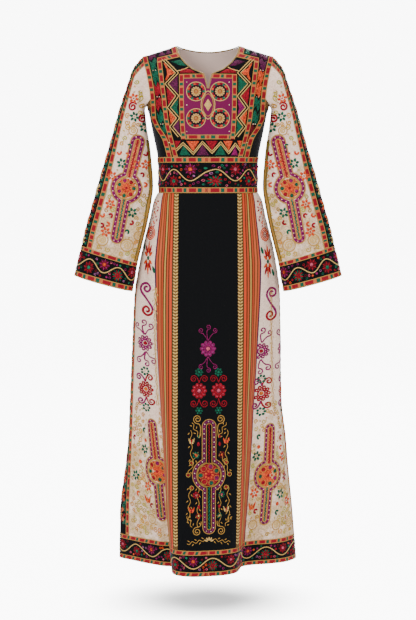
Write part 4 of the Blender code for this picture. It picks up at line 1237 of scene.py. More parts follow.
def belt_at(place, z, lift):
    place, z = paired(place, z)
    side = np.cos(place / BELT_LENGTH * 2 * pi)
    ripple = 0.0008 * np.sin(z * 190 + place * 9) * (1 - side ** 2)
    return on_form(belt_base, place, z, ripple + lift)


def belt_length(z):
    return np.full(np.shape(z), BELT_LENGTH)


ring_shell("belt", belt_at, belt_length, (BELT_TOP_Z - BELT_TAPE - 0.0002,
        BELT_BOTTOM_Z + BELT_TAPE + 0.0002), 12,
           velvet, "velvet", flat=(0.755, 0.068), held="stretched")
for name, top, low in (("belt_top_tape", BELT_TOP_Z - 0.0003, BELT_TOP_Z - BELT_TAPE),
                       ("belt_bottom_tape", BELT_BOTTOM_Z + BELT_TAPE, BELT_BOTTOM_Z)):
    ring_shell(name, belt_at, belt_length, (top - 0.0001, low + 0.0001), 5, tape, "woven_tape", TAPE_RISE,
               flat=(0.755, 0.015), held="stretched")
floss, gold = Needlework(71), Needlework(72)
wave_band(floss, gold, -BELT_LENGTH / 2, BELT_LENGTH / 2, BELT_LENGTH / 8, 0.0127, -0.3535, 0.0155, 0.0335,
          0.0165)
lay_both("belt", floss, gold, belt_at)

# Bodice: front
# A quilted satin front worked all over in patches of crimson, green, plum and coral, cut with a scooped
# neck and a short slit. Its outer edges follow the armholes and then run in to the belt.
NECK_HALF, SHOULDER_HALF, SHOULDER_Z, CHEST_Z = 0.0887, 0.1804, -0.029, -0.0876
SEAMS = table(
    ("z", "outer_tape", "inner_tape", "frame", "back_seam"),
    (-0.029, 0.1742, 0.1321, 0.0789, 0.1804),
    (-0.0876, 0.1589, 0.1268, 0.078, 0.1668),
    (-0.1464, 0.1502, 0.1196, 0.0776, 0.1591),
    (-0.2013, 0.1474, 0.1138, 0.0762, 0.1504),
    (-0.2249, 0.1366, 0.1094, 0.0747, 0.1415),
    (-0.2564, 0.1179, 0.101, 0.0723, 0.1287),
    (-0.3047, 0.1046, 0.0877, 0.0684, 0.112),
)
BODICE_ROWS = table(
    ("row", "neck_z", "arm_z", "neck_x"),
    (0, 0.0002, -0.029, 0.0887),
    (1, -0.0056, -0.0339, 0.0872),
    (2, -0.0227, -0.0437, 0.0833),
    (3, -0.0339, -0.0544, 0.0769),
    (4, -0.0505, -0.0642, 0.0646),
    (5, -0.0681, -0.074, 0.0434),
    (6, -0.0808, -0.0828, 0.0128),
    (7, -0.093, -0.0955, 0.0097),
    (8, -0.1212, -0.1229, 0.0033),
    (9, -0.1464, -0.1464, 0.0033),
    (10, -0.168, -0.168, 0.0033),
    (11, -0.2013, -0.2013, 0.0033),
    (12, -0.2249, -0.2249, 0.0033),
    (13, -0.2446, -0.2446, 0.0033),
    (14, -0.2569, -0.2569, 0.0033),
    (15, -0.2791, -0.2791, 0.0033),
    (16, -0.3042, -0.3042, 0.0033),
)
FRONT_CREASES = table(
    CREASE_COLUMNS,
    ("bust_left", -0.128, -0.14, -0.1, -0.3, 0.012, -0.0022),
    ("bust_right", 0.13, -0.14, 0.102, -0.3, 0.012, -0.0022),
    ("arm_left", -0.15, -0.06, -0.12, -0.16, 0.01, -0.002),
    ("arm_right", 0.15, -0.06, 0.122, -0.17, 0.01, -0.0018),
    ("waist_left", -0.052, -0.27, -0.06, -0.31, 0.01, -0.0014),
    ("waist_right", 0.048, -0.26, 0.058, -0.31, 0.01, -0.0014),
)


ARM_ZS = [row[2] for row in BODICE_ROWS["rows"]]


def shoulder_z(x):
    return SHOULDER_Z / (SHOULDER_HALF - NECK_HALF) * (np.abs(x) - NECK_HALF)


def torso(x, z, side):
    """The bodice at a width and height. Side is -1 at the front and 1 at the back."""
    x, z = paired(x, z)
    share = np.minimum(1.0, np.abs(x) / read(BODY, "half_width", z))
    y = read(BODY, "front" if side < 0 else "back", z) * (1 - share ** BODY_POWER) ** (1 / BODY_POWER)
    rise = np.clip((z - CHEST_Z) / (shoulder_z(x) - CHEST_Z), 0, 1)
    y = y * np.sqrt(1 - rise * rise)
    return stacked(x, side * y, z)


def bodice_at(x, z, lift, fold, side):
    """A side of the bodice, raised. Near the shoulder line it is raised straight up."""
    top = shoulder_z(x)
    inside = np.minimum(z, top - 0.003)
    point = on_form(lambda a, b: torso(-side * a, b, side), -side * x, inside, fold + lift)
    near = np.clip((z - inside) / 0.003, 0, 1)[..., None]
    return mix(point, stacked(x, np.zeros(x.shape), top + lift), near)


def front_at(x, z, lift):
    x, z = paired(x, z)
    return bodice_at(x, z, lift, crease_height(FRONT_CREASES, x, z), -1)


def front_line(row, column):
    """A point of the bodice's cutting grid. Rows and columns may be fractions."""
    low_row = min(15, int(row))
    part = row - low_row
    ends = []
    for one in (low_row, low_row + 1):
        _, neck_z, arm_z, neck_x = BODICE_ROWS["rows"][one]
        outer, inner = float(read(SEAMS, "outer_tape", arm_z)), float(read(SEAMS, "inner_tape", arm_z))
        frame_x = float(read(SEAMS, "frame", arm_z))
        low = [neck_x, mix(neck_x, frame_x - 0.013, 0.52), frame_x - 0.0125, frame_x,
               mix(frame_x, inner - 0.0063, 0.5), inner - 0.0063, inner + 0.0063, outer - 0.0063,
               outer + 0.0063]
        top = [neck_x, neck_x + 0.0125, neck_x + 0.021, neck_x + 0.028, neck_x + 0.034,
               max(0.1258, inner - 0.0063), max(0.1384, inner + 0.0063), outer - 0.0063, outer + 0.0063]
        amount = min(1.0, max(0.0, (one - 2) / 4))
        amount = amount * amount * (3 - 2 * amount)
        widths = [mix(a, b, amount) for a, b in zip(top, low)]
        if column < 0:
            x = widths[0] * (1 + column)
        else:
            k = min(7, int(column))
            x = mix(widths[k], widths[k + 1], column - k)
        share = max(0.0, (x - widths[0]) / (widths[8] - widths[0]))
        z = shoulder_z(x) if one == 0 else mix(neck_z, arm_z, share)
        ends.append((x, z))
    return mix(ends[0][0], ends[1][0], part), mix(ends[0][1], ends[1][1], part)


def front_patch(sign, rows, columns, steps, thick=CLOTH, rise=0.0):
    """A wall over the bodice front between two rows and two columns of its cutting grid."""
    down = np.linspace(*rows, max(2, int((rows[1] - rows[0]) * steps[0]) + 1))
    across = np.linspace(*columns, max(2, int((columns[1] - columns[0]) * steps[1]) + 1))[::sign]
    places = np.array([[front_line(r, c) for c in across] for r in down])
    run = run_length(places[:, 0])
    share = (across - columns[0]) / (columns[1] - columns[0])
    uv = stacked(*np.meshgrid(share, run))
    return shell(None, front_at, sign * places[..., 0], places[..., 1], None, thick, rise, uv)


cream_lining = new_material("cream_lining", (0.98, 0.79, 0.7), 0.7, sheen=0.05)
rough_up(cream_lining, 300, 0.2, 0.0006)
patchwork_ground = new_material("patchwork_ground", (0.0022, 0.0022, 0.0028), 0.9, sheen=0.02)
rough_up(patchwork_ground, 500, 0.5, 0.0008, 5.0)
parts = []
for sign in (1, -1):
    parts += [front_patch(sign, (0, 16), (0, 8), (5, 5)), front_patch(sign, (8, 16), (-1, 0), (5, 1))]
bodice_front = joined("bodice_front_cloth", parts, [patchwork_ground, cream_lining])
declare(bodice_front, "bodice_front", "patch_cloth", flat=(0.38, 0.312), held="stretched", area=0.095)

# Bodice: patchwork and zigzags
# Satin patches in crimson, green, plum and coral, with black left between them. A double gold cord runs in
# zigzags beside and below the chest square, and small white beads sit in the gaps.


def bodice_spot(sign, column, row):
    x, z = front_line(row, column)
    return sign * x, z


def spots(sign, places):
    return [bodice_spot(sign, column, row) for column, row in places]


def zigzag(corners):
    """A line through its corners, with eight points to a leg."""
    corners = [np.array(corner) for corner in corners]
    line = [mix(a, b, t) for a, b in zip(corners, corners[1:]) for t in np.linspace(0, 1, 9)[:-1]]
    return np.array(line + corners[-1:])


def shrunk(corners, share):
    corners = np.array(corners)
    middle = corners.mean(axis=0)
    return middle + (corners - middle) * share


def row_at(z):
    return float(np.interp(-z, -np.array(ARM_ZS), range(17)))


patches, gold = Needlework(91), Needlework(92)
OUTER_PATCHES = {-1: (PLUM, GREEN, GREEN, CRIMSON, CRIMSON, GREEN, GREEN, CRIMSON, DEEP),
                 1: (PLUM, PLUM, CORAL, CORAL, GREEN, GREEN, DEEP, CRIMSON, GREEN)}
OUTER_ROWS = (0.35, 2.0, 4.7, 7.3, 8.8, 10.3, 11.6, 12.9, 14.4, 15.8)
JAG = ((6.07, 0.1), (6.34, -0.22), (6.68, 0.24), (6.93, -0.08))
ZIGZAG_Z = (-0.0497, -0.08, -0.108, -0.1408, -0.1717, -0.2, -0.223, -0.251)
SIDE_TINTS = {-1: ((CORAL, CRIMSON, CORAL), (PLUM, GREEN, PLUM)), 1: ((CORAL, CRIMSON, CORAL), (GREEN,
        MAGENTA, GREEN))}
for sign in (-1, 1):
    for k, tint in enumerate(OUTER_PATCHES[sign]):
        top, low = OUTER_ROWS[k] + 0.14, OUTER_ROWS[k + 1] - 0.14
        corners = spots(sign, [(c, top + d * (low - top)) for c, d in JAG])
        corners += spots(sign, [(c, low + d * (low - top)) for c, d in JAG[::-1]])
        patches.patch(corners, tint, 0.0008, 0.1)
        if k % 2:
            for x, z in spots(sign, [(6.35, OUTER_ROWS[k + 1]), (6.68, OUTER_ROWS[k + 1])]):
                patches.dome(x, z, 0.0014, 0.0014, 0, IVORY, 0.0018, 6)
    turns = [bodice_spot(sign, 4.72 if k % 2 == 0 else 3.3, row_at(z)) for k, z in enumerate(ZIGZAG_Z)]
    rails = [[bodice_spot(sign, 4.92, row_at(z)) for z in ZIGZAG_Z],
             [bodice_spot(sign, 3.06, row_at(z)) for z in ZIGZAG_Z]]
    for shift in (-0.0042, 0.0042):
        gold.cord(zigzag(turns) + (shift, 0), 0.0021, STRAW, 0.0013)
    for k in range(1, 7):
        rail = rails[0] if k % 2 else rails[1]
        tint = SIDE_TINTS[sign][0][k // 2] if k % 2 else SIDE_TINTS[sign][1][k // 2 - 1]
        patches.patch(shrunk((rail[k - 1], turns[k], rail[k + 1]), 0.76), tint, 0.0009, 0.1)
    for corners, tint in (
            (((0.35, 3.4), (0.3, 4.5), (2.4, 4.3), (3.6, 3.4)), GREEN if sign < 0 else PLUM),
            (((0.4, 4.95), (0.5, 5.8), (2.9, 5.7), (2.4, 4.8)), CRIMSON),
            (((1.25, 0.3), (1.25, 1.75), (3.4, 1.75), (3.4, 0.3)), PLUM if sign < 0 else GREEN),
            (((3.6, 0.3), (3.6, 1.75), (5.8, 1.75), (5.8, 0.3)), PLUM)):
        patches.patch(spots(sign, corners), tint, 0.0009, 0.1)
    gold.cord(spots(sign, zip(np.linspace(3.3, 0.3, 12), np.linspace(5.2, 4.65, 12))), 0.0021, STRAW, 0.0013)
LOW_ZIGZAG = ((-0.086, -0.286), (-0.0676, -0.2685), (-0.04, -0.2952), (-0.015, -0.2655), (0.011, -0.2925),
              (0.0345, -0.2665), (0.0565, -0.2938), (0.074, -0.27), (0.087, -0.286))
for shift in (-0.003, 0.003):
    gold.cord(zigzag(LOW_ZIGZAG) + (0, shift), 0.0021, STRAW, 0.0013)
for k, tint in enumerate((CRIMSON, GREEN, CORAL, PLUM, CRIMSON, GREEN, CORAL, MAGENTA, CORAL)):
    x, z = LOW_ZIGZAG[k]
    base_z = -0.303 if k % 2 else -0.2585
    left = LOW_ZIGZAG[k - 1][0] + 0.003 if k > 0 else -0.0945
    right = LOW_ZIGZAG[k + 1][0] - 0.003 if k < 8 else 0.0945
    patches.patch(shrunk(((left, base_z), (x, z), (right, base_z)), 0.78), tint, 0.0009, 0.1)
lay("bodice_patches", patches, front_at, silk)
lay("bodice_zigzags", gold, front_at, gilt)

# Bodice: back and side panels
# The back is plain black velvet in one piece, and a velvet gusset at each side runs from the underarm to
# the belt. All are lined with cream cotton.


def back_at(x, z, lift):
    x, z = paired(x, z)
    return bodice_at(x, z, lift, 0.0016 * np.sin(x * 52 + 0.6) * np.clip(-z * 4 - 0.35, 0, 1), 1)


def back_line(row, column):
    """A point of the back's cutting grid, from the centre, 0, to the armhole, 8."""
    tops = (0.0, 0.0296, 0.0591, NECK_HALF, 0.1064, 0.1251, 0.1438, 0.1626, SHOULDER_HALF)
    arm_z = float(np.interp(row, range(17), ARM_ZS))
    seam = SHOULDER_HALF if row == 0 else float(read(SEAMS, "back_seam", arm_z))
    low = seam * column / 8
    top = float(np.interp(column, range(9), tops))
    x = mix(top, low, min(1.0, row / 6)) if column < 8 else seam
    top_z = shoulder_z(x) if x > NECK_HALF else -0.013 * (1 - (x / NECK_HALF) ** 2)
    return x, mix(top_z + arm_z - SHOULDER_Z, arm_z, min(1.0, row / 9)) if row > 0 else top_z


def back_patch(node, rows, columns, material, slot_name, thick, rise, **cut):
    """A wall over the back between two rows, as wide on both sides of the centre, lined with cream."""
    down = np.linspace(*rows, (rows[1] - rows[0]) * 4 + 1)
    across = np.linspace(columns, -columns, 8 * columns + 1)
    places = np.array([[back_line(r, abs(c)) for c in across] for r in down])
    x = places[..., 0] * np.sign(across)[None]
    made = shell(node + "_cloth", back_at, x, places[..., 1], [material, cream_lining], thick, rise)
    declare(made, node, slot_name, held="stretched", **cut)


back_patch("bodice_back", (0, 16), 8, velvet, "velvet", CLOTH, 0.0, flat=(0.37, 0.312), area=0.1)
back_patch("neck_lining", (0, 8), 6, cream_lining, "lining", 0.001, -CLOTH - 0.0003, flat=(0.3, 0.13),
           area=0.036)


def side_base(share, z):
    half = read(BODY, "half_width", z)
    front_x = np.minimum(read(SEAMS, "outer_tape", z) + 0.0063, half * 0.995)
    back_x = np.minimum(read(SEAMS, "back_seam", z), half * 0.995)
    begin = np.arcsin((front_x / half) ** (BODY_POWER / 2))
    finish = pi - np.arcsin((back_x / half) ** (BODY_POWER / 2))
    turn = mix(begin, finish, share)
    depth = np.where(turn < pi / 2, read(BODY, "front", z), read(BODY, "back", z))
    x = half * np.abs(np.sin(turn)) ** (2 / BODY_POWER)
    y = -depth * signed_power(np.cos(turn), 2 / BODY_POWER)
    return stacked(x, y, z)


def side_patch(name, sign, rows, material, thick, rise, inside):
    """A gusset, or a part of it. Rows count down from the underarm, 9, to the belt, 16."""
    down = np.linspace(rows[0], rows[1], int((rows[1] - rows[0]) * 5) + 1)
    share = np.linspace(0.003, 0.997, 21)
    arm = np.interp(down, range(17), ARM_ZS)
    sag = np.interp(share, (0, 0.25, 0.5, 0.75, 1), (0, 0.0125, 0.0165, 0.0125, 0))
    z = arm[:, None] - sag[None] * np.clip((12 - down) / 3, 0, 1)[:, None]
    first = np.repeat(share[None], len(down), 0)
    if sign < 0:
        first, z = first[:, ::-1], z[:, ::-1]

    def surface(place, height, lift):
        point = on_form(side_base, place, height, lift)
        return point * np.array((sign, 1, 1))
    run = np.repeat((arm[0] - arm)[:, None], 21, 1)
    return shell(name, surface, first, z, [material, inside], thick=thick, rise=rise,
                 uv=stacked(run / max(1e-6, run.max()), first * 0.1))


TAPE_THICK, BODICE_TAPE_RISE = 0.0009, 0.0012
for sign, side in SIDES:
    panel = side_patch("side_panel_%s_cloth" % side, sign, (9, 16), velvet, CLOTH, 0.0, cream_lining)
    declare(panel, "side_panel_" + side, "velvet", flat=(0.13, 0.161), held="stretched", area=0.0165)
    under = side_patch("underarm_tape_%s_cloth" % side, sign, (9, 10), gold_braid, TAPE_THICK,
                       BODICE_TAPE_RISE,
                       gold_braid)
    declare(under, "underarm_tape_" + side, "gold_braid", flat=(0.0125, 0.115), held="laid")

# Bodice: tapes and chest square
# Woven tapes run from the shoulders to the belt, and a square of tape frames a magenta satin panel.
# They are laid flat and stitched down along both edges.
magenta = new_material("magenta_satin", (0.145, 0.0025, 0.052), 0.65, sheen=0.02)
rough_up(magenta, 450, 0.5, 0.0008, 5.0)


def across(part, length):
    """The same wall with its tape pattern running from side to side."""
    points, faces, uv, slots = part
    return points, faces, stacked(uv[:, 1] / max(1e-6, uv[:, 1].max()), uv[:, 0] * length), slots


chest, frame_tape = [], []
for sign, side in SIDES:
    def flat(rows, columns, steps, rise=BODICE_TAPE_RISE, sign=sign):
        return front_patch(sign, rows, columns, steps, TAPE_THICK, rise)
    chest += [flat((7, 13), (0, 2), (6, 5)), flat((8, 13), (-1, 0), (6, 1))]
    frame_tape += [flat((6, 14), (2, 3), (6, 4), 0.0014), across(flat((6, 7), (0, 2), (4, 8)), 0.055),
                   across(flat((13, 14), (-1, 2), (4, 8)), 0.06)]
    for name, parts, size in (("bodice_outer_tape_", [flat((0, 16), (7, 8), (6, 4))], (0.0185, 0.32)),
                                ("bodice_inner_tape_", [flat((3, 16), (5, 6), (6, 4))], (0.014, 0.285)),
                                ("shoulder_tape_", [across(flat((2, 3), (0, 6), (4, 4)), 0.055),
                                                    flat((0, 2), (0, 1), (4, 4))], (0.0126, 0.15))):
        piece = joined(name + side + "_cloth", parts, [tape, tape])
        declare(piece, name + side, "woven_tape", flat=size, held="laid")
for name, parts, material, slot_name, size in (
        ("chest_panel", chest, magenta, "chest_silk", (0.131, 0.155)),
        ("chest_frame_tape", frame_tape, tape, "woven_tape", (0.0126, 0.6))):
    piece = joined(name + "_cloth", parts, [material, material])
    declare(piece, name, slot_name, flat=size, held="laid")

# Chest square: embroidery
# Four ringed medallions and a drop in gold thread and silk on the magenta satin, with a few pearl beads.
floss, gold = Needlework(95), Needlework(96)
for x in (-0.0322, 0.0322):
    for z in (-0.129, -0.201):
        gold.ring(x, z, 0.0255, 0.0019, STRAW, 0.0012, 36)
        for k, (angle, px, pz) in enumerate(around(x, z, 0.0208, 18)):
            floss.dome(px, pz, 0.004, 0.0034, angle + pi / 2, (LEAF, CRIMSON, CORAL)[k % 3], 0.0013, 8)
        floss.ring(x, z, 0.0152, 0.004, BLACK, 0.0011, 28)
        for angle, px, pz in around(x, z, 0.0108, 12):
            gold.dome(px, pz, 0.0036, 0.0024, angle, STRAW, 0.0013, 6)
        gold.dome(x, z, 0.0098, 0.0098, 0, GOLD, 0.0012, 16)
        floss.ring(x, z, 0.0048, 0.0024, CRIMSON, 0.0016, 12)
        floss.dome(x, z, 0.0022, 0.0022, 0, PINK, 0.002, 8)
for reach, wide, tint in ((1.0, 0.002, STRAW), (0.8, 0.0016, GOLD)):
    t = np.linspace(0, 2 * pi, 49)[:-1]
    drop = stacked(0.0185 * reach * np.sign(np.cos(t)) * np.abs(np.cos(t)) ** 1.25,
                     -0.1655 + 0.0375 * reach * np.sign(np.sin(t)) * np.abs(np.sin(t)) ** 1.05)
    gold.cord(drop, wide, tint, 0.0013, closed=True)
gold.patch([(-0.0105, -0.1655), (0.0, -0.1825), (0.0105, -0.1655), (0.0, -0.1485)], STRAW, 0.0011)
for k in range(8):
    angle = 2 * pi * k / 8
    gold.dome(0.0055 * cos(angle), -0.1655 + 0.0075 * sin(angle), 0.0026, 0.0013, angle, GOLD, 0.0016, 6)
for x in (-0.057, 0.057):
    for z in (-0.104, -0.1655, -0.236):
        floss.dome(x, z, 0.0017, 0.0017, 0, IVORY, 0.0022, 8)
lay_both("chest", floss, gold, front_at, "_work", BODICE_TAPE_RISE)

# Sleeves
# Wide two-piece sleeves: cream satin in front and black velvet behind, with a dark patchwork band down
# the outside and a woven tape beside it. They are set in flat at the armhole and bent slightly forward.
SLEEVE_POWER = 2.2
SLEEVE = table(
    ("station", "out_x", "out_z", "in_x", "in_z", "middle_y", "half_depth", "back_drop"),
    (0, 0.1804, -0.029, 0.169, -0.1626, 0.000, 0.056, 0.000),
    (1, 0.2042, -0.0583, 0.1745, -0.1817, -0.004, 0.057, 0.000),
    (2, 0.2237, -0.1131, 0.1707, -0.2151, -0.01, 0.056, 0.000),
    (3, 0.2462, -0.1797, 0.1639, -0.2515, -0.016, 0.054, 0.000),
    (4, 0.2694, -0.2623, 0.1571, -0.3037, -0.023, 0.051, 0.000),
    (5, 0.2942, -0.3452, 0.1514, -0.3838, -0.031, 0.048, 0.000),
    (6, 0.3177, -0.4283, 0.1636, -0.468, -0.04, 0.046, 0.002),
    (7, 0.3379, -0.4998, 0.1808, -0.5416, -0.047, 0.045, 0.005),
    (8, 0.3479, -0.5463, 0.1938, -0.5938, -0.052, 0.045, 0.007),
    (9, 0.3684, -0.6287, 0.2077, -0.672, -0.056, 0.047, 0.01),
)
ARMHOLE_TURNS = (0, 20, 40, 55, 70, 86, 102, 118, 136, 154, 168, 180, 192, 208, 226, 244, 260, 276, 292, 308,
                 325, 342, 360)
SLEEVE_CREASES = table(
    CREASE_COLUMNS,
    ("armpit_fold", 132, -0.4, 96, -2.6, 13, -0.0045),
    ("elbow_upper", 160, -4.2, 100, -5.3, 15, -0.004),
    ("elbow_lower", 166, -5.2, 112, -6.5, 13, -0.0035),
    ("front_long", 74, -2.2, 84, -6.2, 12, -0.0028),
    ("front_low", 118, -5.8, 106, -8.2, 12, -0.003),
    ("outer_long", 22, -2.0, 14, -7.6, 16, -0.0026),
    ("back_long", 250, -1.0, 262, -7.8, 20, -0.0045),
    ("back_elbow", 205, -4.4, 285, -5.6, 16, -0.0045),
    ("back_low", 300, -3.0, 292, -8.4, 15, -0.0035),
)


def armhole(turn):
    """The armhole seam on the right side, by its turn from the shoulder point over the front."""
    places = []
    for row, arm_z in enumerate(ARM_ZS[:10]):
        x = SHOULDER_HALF if row == 0 else float(read(SEAMS, "outer_tape", arm_z)) + 0.0063
        places.append(torso(x, arm_z, -1) * (1, 0 if row == 0 else 1, 1))
    for share, sag in ((0.25, 0.0125), (0.5, 0.0165), (0.75, 0.0125)):
        places.append(side_base(np.array(share), np.array(ARM_ZS[9] - sag)))
    for arm_z in ARM_ZS[9:0:-1]:
        places.append(torso(float(read(SEAMS, "back_seam", arm_z)), arm_z, 1))
    places.append(places[0])
    places = np.array(places)
    return np.stack([np.interp(np.mod(turn, 360), ARMHOLE_TURNS, places[:, k]) for k in range(3)], axis=-1)


def sleeve_flat(turn, station):
    """The place of a point of the right sleeve as seen from the front."""
    along = signed_power(np.cos(np.radians(turn)), 2 / SLEEVE_POWER)
    out_x, out_z = read(SLEEVE, "out_x", station), read(SLEEVE, "out_z", station)
    in_x, in_z = read(SLEEVE, "in_x", station), read(SLEEVE, "in_z", station)
    return (out_x + in_x) / 2 + (out_x - in_x) / 2 * along, (out_z + in_z) / 2 + (out_z - in_z) / 2 * along


def sleeve_ring(turn, station):
    x, z = sleeve_flat(turn, station)
    deep = signed_power(np.sin(np.radians(turn)), 2 / SLEEVE_POWER)
    y = read(SLEEVE, "middle_y", station) - deep * read(SLEEVE, "half_depth", station)
    return stacked(x, y, z - read(SLEEVE, "back_drop", station) * np.maximum(0, -deep))


def sleeve_base(turn, station):
    """The right sleeve. It leaves the armhole seam and is a flattened tube from station 1 on."""
    turn, station = paired(turn, station)
    seam = armhole(turn)
    first = sleeve_ring(turn, np.ones(turn.shape))
    middle = mix(sleeve_ring(turn, np.full(turn.shape, 0.45)), (seam + first) / 2, 0.65)
    middle = middle + stacked(0.004 * np.maximum(0, -np.cos(np.radians(turn))), turn * 0, turn * 0)
    early = np.where((station < 0.45)[..., None], mix(seam, middle, (np.clip(station, 0, 0.45) / 0.45)[...,
            None]),
                     mix(middle, first, (np.clip(station - 0.45, 0, 0.55) / 0.55)[..., None]))
    return np.where((station < 1)[..., None], early, sleeve_ring(turn, np.maximum(station, 1)))


def sleeve_at(sign):
    def surface(turn, station, lift):
        station = np.clip(station, 0.0, 9.0)
        crease = crease_height(SLEEVE_CREASES, np.mod(turn, 360), -station)
        fade = np.clip(station / 0.8, 0, 1) * np.clip((9 - station) * 1.2, 0, 1)
        near = np.clip(station, 0.03, 8.97)

        def base(a, b):
            return sleeve_base(-a, -b)
        point = on_form(base, -turn, -near, crease * fade + lift, step=0.02)
        slide = sleeve_base(turn, station) - sleeve_base(turn, near)
        return (point + slide) * np.array((sign, 1, 1)) + np.array((sign * 0.0003, 0, 0))
    return surface


def sleeve_patch(name, sign, turns, stations, steps, material, inside, rise=0.0, thick=CLOTH, closed=False):
    rows, columns = steps
    if closed:
        turn = turns[0] + (turns[1] - turns[0]) * np.arange(columns) / columns
    else:
        turn = np.linspace(turns[0], turns[1], columns)
    station = np.linspace(stations[0], stations[1], rows)
    share = np.arange(columns) / max(1, columns - 1)
    uv = stacked(np.repeat(share[None], rows, 0), np.repeat((station * 0.071)[:, None], columns, 1))
    if closed:
        uv = stacked(np.repeat(((station - stations[0]) / (stations[1] - stations[0]))[:, None], columns, 1),
                       np.repeat((share * 0.42)[None], rows, 0))
    if sign > 0:
        turn, uv = turn[::-1], uv[:, ::-1]
    first, second = np.repeat(turn[None], rows, 0), np.repeat(station[:, None], columns, 1)
    return shell(name, sleeve_at(sign), first, second, [material, inside], thick=thick, rise=rise, uv=uv,
                 closed=closed)


sleeve_lining = new_material("sleeve_lining", (0.014, 0.012, 0.012), 0.8, sheen=0.03)
for sign, side in SIDES:
    parts = (
        ("sleeve_front_", (55.3, 179.8), (110, 56), satin, "cream_satin", 0.0, (0.15, 0.565), 0.064),
        ("sleeve_back_", (180.2, 324.8), (90, 46), velvet, "velvet", 0.0, (0.165, 0.565), 0.074),
        ("sleeve_outer_band_", (-34.8, 39.8), (110, 20), patch, "patch_band", 0.0, (0.09, 0.565), 0.036),
        ("sleeve_tape_", (40.2, 54.8), (110, 5), tape, "woven_tape", TAPE_RISE, (0.014, 0.565), None),
    )
    for name, turns, steps, material, slot_name, rise, flat, area in parts:
        piece = sleeve_patch(name + side + "_cloth", sign, turns, (0.0, 8.012), steps, material,
                             sleeve_lining, rise)
        declare(piece, name + side, slot_name, flat=flat, held="hung", area=area)
        if material is satin:
            gild(piece, 0.2, -0.24, 0.26)

# Sleeves: embroidery
# Each cream front carries a leaning key-shaped motif with spirals, flowers and commas in silk over curled
# gold thread. The dark outer band is stitched in diamond stars, and olive piping runs down the inner edge.
FLAT_STATIONS = np.linspace(0.6, 9, 421)


def sleeve_front_at(sign):
    """The front of a sleeve by its place as seen from the front."""
    outs = np.stack([read(SLEEVE, name, FLAT_STATIONS) for name in ("out_x", "out_z")], axis=1)
    ins = np.stack([read(SLEEVE, name, FLAT_STATIONS) for name in ("in_x", "in_z")], axis=1)
    way = outs - ins

    def surface(x, z, lift):
        turn, station = np.zeros(len(x)), np.zeros(len(x))
        for begin in range(0, len(x), 4000):
            part = slice(begin, begin + 4000)
            px, pz = sign * x[part, None], z[part, None]
            cross = (px - ins[None, :, 0]) * way[None, :, 1] - (pz - ins[None, :, 1]) * way[None, :, 0]
            k = np.clip(np.argmax((cross[:, 1:] * cross[:, :-1]) <= 0, axis=1), 0, len(FLAT_STATIONS) - 2)
            row = np.arange(len(k))
            share = cross[row, k] / (cross[row, k] - cross[row, k + 1] + 1e-12)
            share = np.clip(share, 0, 1)
            start, reach = mix(ins[k], ins[k + 1], share[:, None]), mix(way[k], way[k + 1], share[:, None])
            offset = stacked(px[:, 0], pz[:, 0]) - start
            along = 2 * (offset * reach).sum(axis=1) / (reach ** 2).sum(axis=1) - 1
            along = np.clip(along, -0.995, 0.995)
            turn[part] = np.degrees(np.arccos(np.sign(along) * np.abs(along) ** (SLEEVE_POWER / 2)))
            station[part] = mix(FLAT_STATIONS[k], FLAT_STATIONS[k + 1], share)
        return sleeve_at(sign)(turn, station, lift)
    return surface


floss, gold = Needlework(101, 2.8), Needlework(102, 2.3)
key_motif(floss, gold, (0.2228, -0.389), (0.187, -0.244), (0.2515, -0.54), 0.044, 0.02, 0.018,
          (MAGENTA, PLUM, CORAL, IVORY, SALMON))
clear = [(0.2228, -0.389, 0.045)]
clear += [(mix(0.2228, 0.187, t), mix(-0.389, -0.244, t), 0.021) for t in np.linspace(0.3, 1, 9)]
clear += [(mix(0.2228, 0.2515, t), mix(-0.389, -0.54, t), 0.019) for t in np.linspace(0.3, 1, 9)]
for x, z, size in ((0.205, -0.168, 0.0115), (0.1785, -0.2005, 0.0105)):
    floss.spiral(x, z, size * 1.1, 2.6, -1, 0.0022, CRIMSON, 1.5)
    clear.append((x, z, size))
for x, z, tint in ((0.1998, -0.195, GREEN), (0.174, -0.2236, GREEN), (0.2354, -0.3213, GREEN),
                   (0.2066, -0.4559, GREEN), (0.2668, -0.4326, CORAL), (0.169, -0.325, CORAL),
                   (0.262, -0.356, CORAL), (0.202, -0.145, CORAL), (0.279, -0.508, CORAL),
                   (0.196, -0.326, CORAL)):
    floss.flower(x, z, 0.015, 6, tint, STRAW if tint is GREEN else CRIMSON, 0.3, False, 0.17)
    clear.append((x, z, 0.0115))
for x, z, tint, angle in ((0.1785, -0.353, CRIMSON, 0.4), (0.2879, -0.4624, CORAL, 2.2), (0.266, -0.464,
        CRIMSON, 0.5),
                          (0.2742, -0.487, CORAL, 1.2), (0.214, -0.275, GREEN, 0.6), (0.2209, -0.5086, GREEN,
                                  0.2),
                          (0.2209, -0.299, CORAL, 0.8), (0.17, -0.295, CRIMSON, 2.0), (0.208, -0.483,
                                  CRIMSON, 1.6),
                          (0.242, -0.292, CORAL, 2.4), (0.29, -0.49, CRIMSON, 1.0), (0.172, -0.38, CORAL,
                                  1.1)):
    comma(floss, x, z, 0.0078, angle, tint)
    clear.append((x, z, 0.0095))
for x, z, size in ((0.2039, -0.233, 0.0115), (0.2879, -0.53, 0.015), (0.221, -0.545, 0.0165),
                   (0.19, -0.52, 0.012)):
    gold.spiral(x, z, size * 0.72, 0.5, 1, 0.0017, STRAW, 1.6)
    gold.ring(x, z, size * 1.02, 0.0014, GOLD, sides=26)
    clear.append((x, z, size))


def over_front(chance):
    turn, station = chance.uniform(64, 160), 8 * (1 - chance.random() ** 1.6) * 0.975
    x, z = sleeve_flat(turn, np.array(max(station, 1.0)))
    return float(x), float(z)


